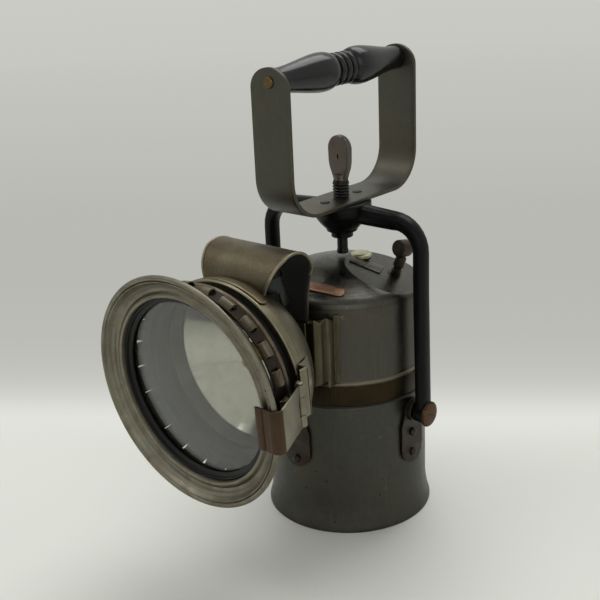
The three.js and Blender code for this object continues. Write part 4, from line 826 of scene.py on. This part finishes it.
def clamp_screw():
    """Threaded screw with a flat oval spade, pierced low, for the thumb."""
    core = THREAD_RADIUS - 0.75
    thread = []
    for i in range(int((THREAD_TOP - THREAD_FOOT) / THREAD_PITCH)):
        for radius, share in ((core, 0), (THREAD_RADIUS, 0.4), (THREAD_RADIUS, 0.6)):
            thread.append((radius, THREAD_FOOT + THREAD_PITCH * (i + share)))
    stem = turned([(0, ROD_FOOT), (ROD_RADIUS, ROD_FOOT), (ROD_RADIUS, THREAD_FOOT - 0.5), *thread,
                   (core, THREAD_TOP), (core - 0.2, THREAD_TOP + 3), (0, THREAD_TOP + 4)], SMALL_TURN)
    for face in stem.faces:
        face.material_index = 1 + int(face.calc_center_median().z > THREAD_TOP)
    centre = SPADE_TOP - SPADE_HALF
    side = [(4.6, THREAD_TOP), (5.1, THREAD_TOP + 1.8), (5.9, THREAD_TOP + 4), (7.2, THREAD_TOP + 7),
            (8.0, THREAD_TOP + 10.8)]
    outline = [*side, *arc(0, centre, SPADE_HALF, -8, 188, 26), *mirrored(side)]
    spade = placed(bevelled(raised(outline, -2.1, 2.1), 1.0, 4, 50), turn_about("X", 90))
    piece = made(joined(stem, spade), "clamp_screw_body", ("screw_steel", "black_steel", "screw_steel"),
                 "clamp_screw", "rust_steel", ["clamp_screw"], smooth=40)
    hole = bar(1.3, -6, 6)
    bmesh.ops.scale(hole, verts=hole.verts, vec=(0.6, 1.5, 1))
    carved(piece, placed(hole, shift(z=centre - 4.2), TO_DEPTH))
    piece.data.transform(turn_about("Z", SPADE_TURN))


# Lugs and pivots

def lug_plate(label, turn, rivets, foot):
    inner = CAN_RADIUS + 0.2
    half = 10
    outline = [*arc(0, foot + half, half, 180, 360, 12), (half, 64), (8.2, 69),
               *arc(0, PIVOT_HEIGHT, 7.4, -10, 190, 14), (-8.2, 69), (-half, 64)]
    bm = raised(outline, 0, 1.8)
    bmesh.ops.subdivide_edges(bm, edges=bm.edges[:], cuts=2, use_grid_fill=True)
    bmesh.ops.triangulate(bm, faces=bm.faces[:])
    bevelled(bm, 0.4)
    for vert in bm.verts:
        across, up, out = vert.co
        angle = across / inner
        vert.co = ((inner + out) * math.cos(angle), (inner + out) * math.sin(angle), up)
    boss = placed(bar(7, inner + 0.4, 53.7, ROUND_TURN, 0.6), shift(z=PIVOT_HEIGHT), TO_RIGHT)
    spin = Matrix.Rotation(turn, 4, "Z")
    made(placed(joined(bm, boss), spin), f"lug_{label}_plate", "lug_iron", "container", "lug_steel",
         [f"lug_{label}"])
    stud = [(0, inner + 1), (2.6, inner + 1), (2.6, inner + 1.9), (1.6, inner + 2.9), (0, inner + 3.1)]
    for i, height in enumerate(rivets):
        bm = placed(lathed(stud, 0.6, rounds=4), spin, shift(z=height), TO_RIGHT)
        made(bm, f"lug_stud_{label}_{i + 1}", "lug_iron", "container", "rust_steel",
             [f"lug_rivet_{label}_{i + 1}"])


def pivot_screws():
    for label, side in (("right", 1), ("left", -1)):
        bm = placed(joined(slotted_head(7.8, 3.2, 1.5, 1.2), bar(3.1, -11, 0.5)),
                    shift(side * PIVOT_SEAT_X, 0, PIVOT_HEIGHT), turn_about("Y", 90 * side),
                    turn_about("Z", 60))
        made(bm, f"pivot_head_{label}", "rusty_steel", "container", "rust_steel", [f"pivot_screw_{label}"])


# Fittings on the tank

def label_plate():
    """The bare coppery plate on the front of the crown, curved less than the crown's rim."""
    bend, back, width, half = 61, 24, 6.4, 25

    def place(across, up):
        narrow = 1 - 0.55 * max(0, abs(across) - 0.93) / 0.07
        radius = bend + up * width / 2 * narrow
        turn = math.radians(across * half)
        x, y = radius * math.sin(turn), back - radius * math.cos(turn)
        return x, y, PIVOT_HEIGHT + math.sqrt((CROWN_REACH + 0.5) ** 2 - x ** 2 - y ** 2)

    piece = made(sheet(40, 4, place), "crown_label", "label_copper", "tank", "label_copper", ["label_plate"])
    thickened(piece, 0.6)


def crown_strip():
    bm = bevelled(box((-11, -6, 0), (9, 6.5, 0.9)), 0.3)
    made(placed(bm, flat_matrix(15.5)), "crown_patch", "crown_iron", "tank", "tank_steel", ["crown_plate"])


def filler():
    top = FILLER_TOP
    cap = [(0, top - 7.9), (3.4, top - 7.9), (3.4, top - 2.9), (6.6, top - 2.9), (6.6, top - 0.9), (5, top),
           (0, top)]
    made(placed(lathed(cap, 0.4), shift(*FILLER_PLACE)), "filler_cap_turned", "pale_brass", "filler_cap",
         "pale_brass", ["filler_cap"])
    neck = lathed([(3.8, 151), (6, 151), (6, 157.4), (3.8, 157.4)], 0.3, closed=True)
    made(placed(neck, shift(*FILLER_PLACE)), "filler_neck_turned", "pale_brass", "tank", "pale_brass",
         ["filler_neck"])


def water_valve():
    """Knurled screw with a round thumb knob across its top."""
    shank = lathed([(0, -8), (2.4, -8), (2.4, 4.6), (3.3, 5.4), (3.3, 11), (2.2, 12.6), (0, 12.8)], 0.3)
    rings = [lathed([(2.2, z), (3.7, z + 0.6), (2.2, z + 1.2)], 0.2, closed=True)
             for z in (-1.9, -0.5, 0.9, 2.3)]
    knob = placed(bar(5.2, -6.4, 2.4, soft=1.2), turn_about("Z", -31), shift(z=17.6), TO_DEPTH)
    made(placed(joined(shank, bar(2.1, 9, 15), knob, *rings), flat_matrix(31.4, 3.9)), "valve_thumb_screw",
         "valve_brown", "valve_screw", "rust_steel", ["valve_screw"])


def head_bracket():
    """Folded channel on the tank's front, with ribbed lips and soldered flanges."""
    edge = TANK_RADIUS + 0.3
    half = math.degrees(math.asin(26 / edge))
    back = -52.3
    lip = -57.6
    right = [(26, -47), (25.4, -48.2), (25.8, -52.2), (26.4, -54.4), (25.6, -56), (23.4, lip), (14, lip),
             (14, lip + 1.4), (19.6, lip + 1.4), (19.6, back)]
    outline = [*arc(0, 0, edge, -90 - half, -90 + half, 24), *right, *mirrored(right)]
    bm = bevelled(raised(softened(outline, 0.5, 2, closed=True), 98.2, 138), 0.5, 2, 60)
    for vert in bm.verts:
        aside = abs(vert.co.x)
        if vert.co.z < 101 and vert.co.y < -48:
            vert.co.z = max(vert.co.z, 98.2 + 3 * max(0, aside - 17) / 5.5)
        if vert.co.z > 137 and vert.co.y < -46:
            vert.co.z += 5.0 * max(0, 1 - abs(aside - 24) / 3.2)
    shapes = [bm]
    for side in (1, -1):
        shapes.append(placed(bar(0.8, 100, 139.6, 12, 0.5), shift(side * 17.2, lip - 0.1)))
        turns = [math.degrees(math.atan2(-40.2, 28)), math.degrees(math.atan2(-42.6, 25.6))]
        if side < 0:
            turns = [-180 - turn for turn in turns]
        flange = [*arc(0, 0, edge + 1.1, *turns, 6), *arc(0, 0, edge, *reversed(turns), 6)]
        shapes.append(bevelled(raised(flange, 100.5, 141.5), 0.3))
    made(joined(*shapes), "bracket_channel", "bracket_olive", "tank", "head_metal", ["head_bracket"])


# Lamp head

def head_piece(bm, name, paints, slot, replaces=(), body="head", smooth=AUTO_SMOOTH):
    """A piece drawn on the head's own axes."""
    return made(placed(bm, HEAD), name, paints, body, slot, replaces, smooth)


def head_turned(profile, steps=FINE_TURN, closed=True):
    """A turned shape about the head's axis from (radius, depth) points."""
    return placed(turned(profile, steps, closed), TO_DEPTH)


def bezel():
    """Dished ring: rolled rim, fine bead, worn channel and inner step, with its sleeve."""
    rim = BEZEL_RADIUS
    opening = BEZEL_OPENING
    front = [(opening, SLEEVE_BACK), (opening, 4.9), (53.3, 4.0), (54.3, 3.6), (55.2, 3.9), (55.8, 4.8),
             (56.8, 5.3), (58.4, 5.1), (60.2, 3.9), (61.4, 2.5), (62.0, 1.3), (62.6, 0.6), (63.1, 0.6),
             (63.5, 1.3)]
    roll = arc(rim - 1.5, 1.5, 1.5, 200, 470, 14)
    back = [(rim - 2.6, 3.4), (61.6, 5.6), (58.4, 7.3), (opening + 1.1, 7.5), (opening + 1.1, SLEEVE_BACK)]
    head_piece(head_turned([*front, *roll, *back]), "bezel_dish", "bezel_plate", "head_metal", ["bezel_ring"],
               "bezel_door")


def glass_and_seat():
    rim = BEZEL_OPENING - 0.3
    seat = [(rim - 1.1, 6.3), (rim, 6.3), (rim, 9.6), (49.2, 9.6), (49.2, 8.4), (rim - 1.1, 8.0)]
    front = 9.9
    glass = [(radius, front + depth) for radius, depth in (
        (0, -1.2), (26, -0.9), (40, -0.4), (49, 0), (rim, 0), (rim, 2.2), (49, 2.2), (40, 1.8), (26, 1.3),
        (0, 1.0))]
    ring = [(rim - 3, 12.4), (rim, 12.4), (rim, 13.6), (rim - 3, 13.6)]
    for profile, name, paint_name, slot, stands_for in (
            (softened(seat, 0.3, closed=True), "seat_ring", "seat_black", "seat_black", "glass_seat"),
            (glass, "lens_pane", "lens_clear", "lens", "lens_glass"),
            (softened(ring, 0.3, closed=True), "retainer_ring", "seat_black", "retainer_dark",
             "glass_retainer")):
        head_piece(head_turned(profile), name, paint_name, slot, [stands_for], "bezel_door")


def vent_barrel():
    """The ring behind the bezel: small slots under raised bridges, a bead, and a black neck, with painted
    shade on its front and between the bridges.
    """
    shares = (0, 0.09, 0.18, 0.27, 0.273, 0.3, 0.36, 0.45, 0.54, 0.63, 0.72, 0.76, 0.787, 0.79, 0.86, 0.93)
    per_vent = len(shares)
    around = VENTS * per_vent
    bridge = range(4, 13)
    slope = (BARREL_REAR_RADIUS - BARREL_FRONT_RADIUS) / (BEAD_DEPTH - BARREL_FRONT)
    slot_front = VENT_DEPTH - VENT_LENGTH / 2
    slot_back = VENT_DEPTH + VENT_LENGTH / 2
    lifts = (0, 0.45, 0.85, 1, 1, 1, 1, 0.85, 0.45, 0)
    rows = [slot_front + VENT_LENGTH * i / (len(lifts) - 1) for i in range(len(lifts))]
    depths = [BARREL_FRONT, slot_front - 0.5, *rows, slot_back + 0.5]
    wall = [(BARREL_FRONT_RADIUS + slope * (d - BARREL_FRONT), d) for d in depths]
    bead = arc(BARREL_REAR_RADIUS - 0.7, BEAD_DEPTH, 1.5, -80, 80, 8)
    neck = [(NECK_RADIUS + 0.6, BEAD_DEPTH + 1.6), (NECK_RADIUS, BEAD_DEPTH + 2.6), (NECK_RADIUS, NECK_BACK)]
    bm = turned([*wall, *bead, *neck], around, closed=False)
    places = {v: round(math.atan2(v.co.y, v.co.x) / math.tau * around) % around for v in bm.verts}
    gone = []
    for face in bm.faces:
        depth = face.calc_center_median().z
        columns = {places[vert] % per_vent for vert in face.verts}
        in_slot = slot_front < depth < slot_back
        if in_slot and columns in ({3, 4}, {12, 13}):
            gone.append(face)
        # The bridges and the plate behind the slots keep the brown plate colour; the barrel's front and the
        # wall between the bridges take painted shade.
        brown = in_slot and columns <= set(bridge) or depth > slot_back + 0.6
        face.material_index = 1 if depth > BEAD_DEPTH + 1.5 else 0 if brown else 4
    bmesh.ops.delete(bm, geom=gone, context="FACES")
    for vert in bm.verts:
        vent, column = divmod(places[vert], per_vent)
        radius = math.hypot(vert.co.x, vert.co.y)
        if column in bridge:
            radius += VENT_LIFT * sum(lift for lift, d in zip(lifts, rows) if abs(d - vert.co.z) < 0.01)
        turn = math.radians((vent + shares[column]) * 360 / VENTS - VENT_PHASE)
        vert.co.x, vert.co.y = radius * math.cos(turn), radius * math.sin(turn)
    bmesh.ops.recalc_face_normals(bm, faces=bm.faces)
    paints = ("vent_brown", "soot", "vent_inner", "soot", "vent_painted_shade", "vent_inner", "vent_inner")
    piece = head_piece(placed(bm, TO_DEPTH), "vent_ring", paints, "head_metal", ["vent_barrel"], smooth=50)
    thickened(piece, 0.9, -1).material_offset = 2


def bowl_radius(depth, inset=0.0):
    share = (depth - BOWL_FRONT) / BOWL_DEPTH
    return BOWL_RADIUS * math.sqrt(max(1 - share ** 2, 0)) - inset


def ellipse(half_width, half_depth, count):
    """Points of an ellipse round the chimney's middle."""
    return [(half_width * math.cos(t), CHIMNEY_CENTRE + half_depth * math.sin(t)) for t in round_turns(count)]


def bowl():
    steps = 24
    start = BOWL_FRONT + 2.6
    depths = [start + (BOWL_BACK - start) * math.sin(math.pi / 2 * i / steps) for i in range(steps + 1)]
    lip = arc(BOWL_RADIUS - 0.3, BOWL_FRONT + 1.3, 1.3, -90, 80, 8)
    outside = [(NECK_RADIUS + 0.4, BOWL_FRONT), *lip, *[(bowl_radius(d), d) for d in depths], (0, BOWL_BACK)]
    inside = [(0, BOWL_BACK - 1.2), *[(bowl_radius(d, 1.2), d) for d in reversed(depths[:-1])],
              (NECK_RADIUS + 0.4, BOWL_FRONT + 1.2)]
    inside.insert(1, (bowl_radius(BOWL_BACK, 1.2), BOWL_BACK - 1.2))
    piece = head_piece(head_turned(outside + inside), "bowl", "head_plate", "head_metal", ["bowl_shell"])
    flue = ellipse(0.9 * CHIMNEY_HALF_WIDTH, 0.85 * CHIMNEY_HALF_DEPTH, 40)
    hole = placed(bar(4.8, BOWL_BACK - 5, BOWL_BACK + 5), HEAD, shift(z=-2), TO_DEPTH)
    carved(piece, placed(raised(flue, 20, 60), HEAD), hole)


def reflector():
    steps = 20
    front = []
    for i in range(steps + 1):
        radius = REFLECTOR_HOLE + (REFLECTOR_RADIUS - REFLECTOR_HOLE) * i / steps
        share = (radius ** 2 - REFLECTOR_HOLE ** 2) / (REFLECTOR_RADIUS ** 2 - REFLECTOR_HOLE ** 2)
        front.append((radius, REFLECTOR_BACK + (REFLECTOR_FRONT - REFLECTOR_BACK) * share))
    profile = [*front, (47.2, REFLECTOR_FRONT)]
    back = [(r + 0.4, d + 0.8) for r, d in reversed(profile)]
    head_piece(head_turned(profile + back), "reflector_dish", "silvered", "mirror_metal", ["reflector"])


def hood_arch(inset):
    middle = (HOOD_FRONT + HOOD_REAR) / 2
    half = (HOOD_REAR - HOOD_FRONT) / 2 - inset
    rise = HOOD_TOP - HOOD_FOOT - inset
    steps = 30
    turns = [math.pi * (1 - i / steps) for i in range(steps + 1)]
    arch = [(middle + half * math.cos(t), HOOD_FOOT + rise * math.sin(t)) for t in turns]
    return arch + [(middle + half, height) for height in (40, 30, HOOD_BACK_FOOT)]


def hood_half_width(depth, height):
    """Half the hood's width: narrow feet, and wide at the top, sooner so on the back wall."""
    stations = [(HOOD_BACK_FOOT, 20), (30, 21.2), (HOOD_FOOT, HOOD_HALF_FOOT), (50, 24.6),
                (HOOD_SHOULDER, HOOD_HALF_TOP), (HOOD_TOP + 1, HOOD_HALF_TOP)]
    if depth > CHIMNEY_CENTRE + 14:
        stations[2:4] = [(36, 22.4), (44, 24.6), (51, 27.6)]
    for (low, narrow), (high, wide) in zip(stations, stations[1:]):
        if height <= high:
            return narrow + (wide - narrow) * max(height - low, 0) / (high - low)
    return HOOD_HALF_TOP


def hood_sheet(name, inset, paint_name, stands_for):
    line = hood_arch(inset)
    last = len(line) - 1

    def place(across, along):
        spot = line[round((along + 1) / 2 * last)]
        return across * (hood_half_width(*spot) - 0.2 - inset * 0.4), *spot

    thickened(head_piece(sheet(20, last, place), name, paint_name, "hood_metal", stands_for, smooth=50), 0.6)


def hood():
    """The half-round chimney cover with its back wall: plate outside, soot inside, and a turned-over edge."""
    hood_sheet("hood_sheet", 0.4, "hood_plate", ["chimney_hood"])
    hood_sheet("hood_lining", 1.05, "soot", [])
    hems = []
    line = [spot for spot in hood_arch(0.75) if spot[1] > HOOD_FOOT - 0.1]
    for side in (1, -1):
        rings = []
        for i, spot in enumerate(line):
            ahead = Vector(line[min(i + 1, len(line) - 1)]) - Vector(line[max(i - 1, 0)])
            out = Vector((0, -ahead.y, ahead.x)).normalized()
            centre = Vector((side * (hood_half_width(*spot) - 0.9), *spot))
            rings.append([centre + Vector((math.cos(t), 0, 0)) + out * 0.9 * math.sin(t)
                          for t in round_turns(10)])
        hems.append(lofted(rings))
    head_piece(joined(*hems), "hood_hems", "hem_plate", "hood_metal")


def chimney_neck():
    rings = []
    for height, spread in ((34, 3.0), (42, 1.4), (45.5, 0.2), (48, 0), (CHIMNEY_TOP, 0)):
        line = ellipse(CHIMNEY_HALF_WIDTH + spread, CHIMNEY_HALF_DEPTH + spread * 0.6, 48)
        rings.append([(x, y, height) for x, y in line])
    bm = lofted(rings, capped=False)
    inside = [v for v in bm.verts
              if math.hypot(v.co.x, v.co.z) < bowl_radius(min(v.co.y, BOWL_BACK - 0.1)) - 1.5]
    bmesh.ops.delete(bm, geom=inside, context="VERTS")
    bmesh.ops.recalc_face_normals(bm, faces=bm.faces)
    thickened(head_piece(bm, "chimney", "vent_inner", "head_metal", ["chimney_neck"]), 1, -1)


def saddle():
    """Strip with round ends under the hood's front, lying on the bowl."""
    end_share = 0.9

    def place(across, along):
        outer = max(0, abs(across) - end_share) / (1 - end_share)
        narrow = math.sqrt(max(1 - outer ** 2, 0.0))
        depth = SADDLE_FRONT + SADDLE_WIDTH / 2 + along * SADDLE_WIDTH / 2 * max(narrow, 0.05)
        turn = math.radians(90 - across * SADDLE_HALF)
        radius = bowl_radius(depth) + 0.6
        return radius * math.cos(turn), depth, radius * math.sin(turn)

    piece = head_piece(sheet(60, 6, place), "saddle_strip", "saddle_brass", "saddle_brass", ["hood_saddle"])
    thickened(piece, 1)


def knuckle(low, high):
    bm = lathed([(1.4, low), (KNUCKLE_RADIUS, low), (KNUCKLE_RADIUS, high), (1.4, high)], 0.3, closed=True)
    return placed(bm, shift(HINGE_X, HINGE_DEPTH, HINGE_Z))


def hinge_strap():
    """Strap hooked round the bezel's rim, and its slanting leaf with a notch for the middle knuckle."""
    half, notch = HINGE_HALF, HINGE_NOTCH
    corner = Vector((68.3, 3.2, 0))
    along = Vector((HINGE_X + 0.9, HINGE_DEPTH, 0)) - corner
    reach = along.length
    right = [(0, -half), (reach, -half), (reach, -notch), (reach - 4.5, -notch)]
    leaf = bevelled(raised([*right, *[(x, -y) for x, y in reversed(right)]], -SHEET, 0), 0.25)
    up = Vector((0, 0, 1))
    along.normalize()
    leaning = Matrix((along, up, along.cross(up))).transposed().to_4x4()
    placed(leaf, shift(corner.x, corner.y, HINGE_Z), leaning)
    head_piece(joined(leaf, knuckle(notch, half), knuckle(-half, -notch)), "hinge_leaf", "leaf_plate",
               "strap_hinge_steel", ["hinge_strap"], "bezel_door")
    front = -1.55
    outer = [(x, front + depth) for x, depth in (
        (STRAP_INNER_X, 0), (57.6, 0), (58.0, 0.9), (58.5, 0.9), (58.9, 0.3), (62.6, 0.3), (63.2, 0),
        (65.2, 0.2), (67.2, 1.4))]
    inner = [(66.4, front + 2.1), (65, front + SHEET + 0.2), (STRAP_INNER_X, front + SHEET + 0.3)]
    wrap = [*outer, (68.2, 1.8), (68.4, 3.6), (67.3, 3.6), (67.1, 2.2), *inner]
    cover = raised(softened(wrap, 0.3, 2, closed=True), HINGE_Z - half, HINGE_Z + half)
    head_piece(bevelled(cover, 0.25, 2, 60), "bezel_wrap", "wrap_brown", "strap_hinge_steel",
               body="bezel_door")


def hinge_on_bowl():
    """The pin, and the leaf that stands on the bowl with the middle knuckle."""
    fixed = HINGE_X - KNUCKLE_RADIUS
    outer = fixed + SHEET
    plate = bevelled(box((fixed, HINGE_DEPTH + 3, -13), (outer, 38.4, 15)), 0.3)
    tongue = bevelled(box((fixed, HINGE_DEPTH, HINGE_Z - 5), (outer, HINGE_DEPTH + 4, HINGE_Z + 5)), 0.2)
    patch = bmesh.new()
    bmesh.ops.create_grid(patch, x_segments=20, y_segments=10, size=1)
    for vert in patch.verts:
        height = vert.co.x * 14 + 1
        tip = 47.2 - 0.8 * max(0, -5 - height)
        depth = 38 + (tip - 38) * (vert.co.y + 1) / 2
        radius = bowl_radius(depth) + 0.9
        vert.co = (math.sqrt(radius ** 2 - height ** 2), depth, height)
    bmesh.ops.solidify(patch, geom=patch.faces[:], thickness=0.8)
    web = box((49.2, 37.4, -12.6), (outer, 38.4, 14.6))
    head_piece(joined(plate, tongue, patch, web, knuckle(-5, 5)), "hinge_bowl_leaf", "leaf_plate",
               "head_metal", ["hinge_fixed_leaf"])
    pin = lathed([(0, -12.3), (1.2, -12.3), (1.2, 12.3), (2.1, 12.3), (2.1, 13), (1.4, 13.4), (0, 13.5)], 0.2)
    head_piece(placed(pin, shift(HINGE_X, HINGE_DEPTH, HINGE_Z)), "hinge_pin_steel", "leaf_plate",
               "rust_steel", ["hinge_pin"])


def slide_plate():
    """The head's male slide, with its pointed top and ridges."""
    outline = [(-18, 98.2), (18, 98.2), (18, 138.5), (13.7, 143), (-13.7, 143), (-18, 138.5)]
    bm = bevelled(raised(softened(outline, 1.2, 3, closed=True), 52.6, 55.3), 0.4)
    stem = bevelled(box((-13.7, -64, 122), (13.7, -54, 138)), 0.4)
    placed(bm, turn_about("X", 90))
    piece = made(joined(bm, stem), "slide", "bracket_olive", "head", "head_metal", ["slide_plate"])
    carved(piece, box((-3.1, -60, 96), (3.1, -50, 106.1)))


def carried_over_nodes():
    """Finishes for the frame's own pieces that stay in view."""
    for paint_name, names in (
            ("tank_iron", ("container_base", "tank_floor")),
            ("tinned_sheet", ("carbide_basket", "basket_lid")), ("grey_felt", ("filter_felt",)),
            ("seal_rubber", ("joint_gasket", "filler_washer")), ("valve_brown", ("valve_guide",)),
            ("plain_brass", ("drip_tube", "valve_needle", "gas_pipe", "burner_pipe", "burner_body")),
            ("black_steel", ("clamp_pad",)), ("steatite", ("burner_tip_right", "burner_tip_left")),
            ("leaf_plate", ("door_catch",))):
        for name in names:
            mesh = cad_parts[name].data
            mesh.materials.clear()
            mesh.materials.append(PAINTS[paint_name])


for label, turn, rivet_heights, foot in (("right", 0, (44.5, 58), 38), ("left", math.pi, (44.5, 58), 38),
                                         ("front", -math.pi / 2, (45.5,), 40.5)):
    lug_plate(label, turn, rivet_heights, foot)
for build in (can_wall, brass_band, tank_shell, yoke_bow, handle_strap, handle_fittings, grip, clamp_screw,
              pivot_screws, label_plate, crown_strip, filler, water_valve, head_bracket, bezel,
              glass_and_seat, vent_barrel, bowl, reflector, hood, chimney_neck, saddle, hinge_strap,
              hinge_on_bowl, slide_plate, carried_over_nodes):
    build()


# Floor, backdrop, light and camera

FLOOR_AWAY = (-0.579, 0.815, 0)
# Painted shading of the far floor: for each stop, 0.1 over the distance away from the lamp, and the tone
# painted there.
FLOOR_PAINTED_SHADING = ((0.0245, 203), (0.05, 195), (0.084, 190), (0.134, 184.5), (0.213, 184), (0.358, 187),
               (0.47, 192), (0.56, 198), (0.66, 208), (0.78, 219), (0.92, 225))
SEEN_RAYS = ("Is Glossy Ray", "Is Transmission Ray")


def pale(tone):
    return colour(tone, tone + 1, tone - 5)


def pale_material(name, tone):
    net, shader = new_material(name)
    shader.inputs["Base Color"].default_value = pale(tone)
    shader.inputs["Roughness"].default_value = 0.8
    return net, shader


def show_pale(net, shader, seen, share):
    """Gives the camera, metal and glass a fixed pale tone over a share of the surface."""
    glow = net.node("Emission", [("Color", seen)])
    path = net.node("LightPath").outputs
    looked_at = path["Is Camera Ray"]
    for name in SEEN_RAYS:
        looked_at = net.math("MAXIMUM", looked_at, path[name])
    links = [(0, net.times(looked_at, share)), (1, shader.outputs[0]), (2, glow.outputs[0])]
    mixed = net.node("MixShader", links).outputs[0]
    net.link(mixed, net.tree.nodes["Material Output"].inputs["Surface"])


def floor_pale():
    """Pale paper that bends up into the backdrop: lit near the lamp; farther away, painted shading as fixed
    tones that darken away from the lamp and lighten again far off.
    """
    net, shader = pale_material("floor_pale", 230)
    away = net.vector("DOT_PRODUCT", net.place, FLOOR_AWAY)
    tones = net.node("ValToRGB", [(0, net.math("DIVIDE", 0.1, net.math("MAXIMUM", away, 0.05)))])
    stops = tones.color_ramp.elements
    while len(stops) < len(FLOOR_PAINTED_SHADING):
        stops.new(0.5)
    for stop, (position, tone) in zip(stops, FLOOR_PAINTED_SHADING):
        stop.position = position
        stop.color = pale(tone)
    show_pale(net, shader, tones.outputs[0], net.ramp(away, 0.06, 0.115))


def wall_pale():
    net, shader = pale_material("wall_pale", 204)
    height = net.node("SeparateXYZ", [(0, net.place)]).outputs["Z"]
    # Painted shading of the backdrop: a fixed tone, a little lighter towards the top.
    show_pale(net, shader, net.mix(net.ramp(height, -0.05, 0.5), pale(199), pale(206)), 1.0)


def stage_piece(bm, name, paint_name):
    mesh = stored(bm, name)
    mesh.shade_smooth()
    mesh.materials.append(PAINTS[paint_name])
    shown(name, mesh)


def stage_set():
    floor_pale()
    wall_pale()
    floor = bmesh.new()
    bmesh.ops.create_grid(floor, x_segments=1, y_segments=1, size=6)
    stage_piece(floor, "floor", "floor_pale")
    wall = bmesh.new()
    bmesh.ops.create_cone(wall, cap_ends=False, segments=128, radius1=2.6, radius2=2.6, depth=5)
    bmesh.ops.reverse_faces(wall, faces=wall.faces)
    stage_piece(wall, "backdrop", "wall_pale")


def soft_lamp(name, place, aim_height, size, power):
    light = bpy.data.lights.new(name, "AREA")
    light.shape = "RECTANGLE"
    light.size, light.size_y = size
    light.energy = power
    lamp = shown(name, light)
    lamp.location = place
    lamp.rotation_euler = (Vector((0, 0, aim_height)) - Vector(place)).to_track_quat("-Z", "Y").to_euler()


def studio_light():
    world = bpy.data.worlds.new("studio")
    bpy.context.scene.world = world
    world.use_nodes = True
    background = world.node_tree.nodes["Background"]
    background.inputs["Color"].default_value = (1, 1, 0.985, 1)
    background.inputs["Strength"].default_value = 0.55
    soft_lamp("top", (-0.25, 0.75, 1.9), 0.1, (1.5, 1.5), 20)
    soft_lamp("window", (-1.1, -1.0, 1.9), 0.12, (1.1, 0.9), 7)
    soft_lamp("fill", (1.5, -1.3, 1.2), 0.12, (1.4, 1.4), 4)


def photo_camera():
    place = turn_about("Z", CAMERA_TURN) @ Vector((0, -CAMERA_DISTANCE, CAMERA_HEIGHT))
    facing = turn_about("Z", CAMERA_TURN + CAMERA_ASIDE) @ turn_about("X", 90 - CAMERA_DOWN)
    data = bpy.data.cameras.new("photo_camera")
    data.lens = LENS_LENGTH
    data.sensor_width = SENSOR_WIDTH
    data.sensor_fit = "HORIZONTAL"
    data.clip_start = 0.02
    data.clip_end = 50
    camera = shown("photo_camera", data)
    camera.matrix_world = shift(*place * MM) @ facing @ turn_about("Z", CAMERA_ROLL)
    bpy.context.scene.camera = camera


stage_set()
studio_light()
photo_camera()
bpy.context.scene.view_settings.view_transform = "Standard"
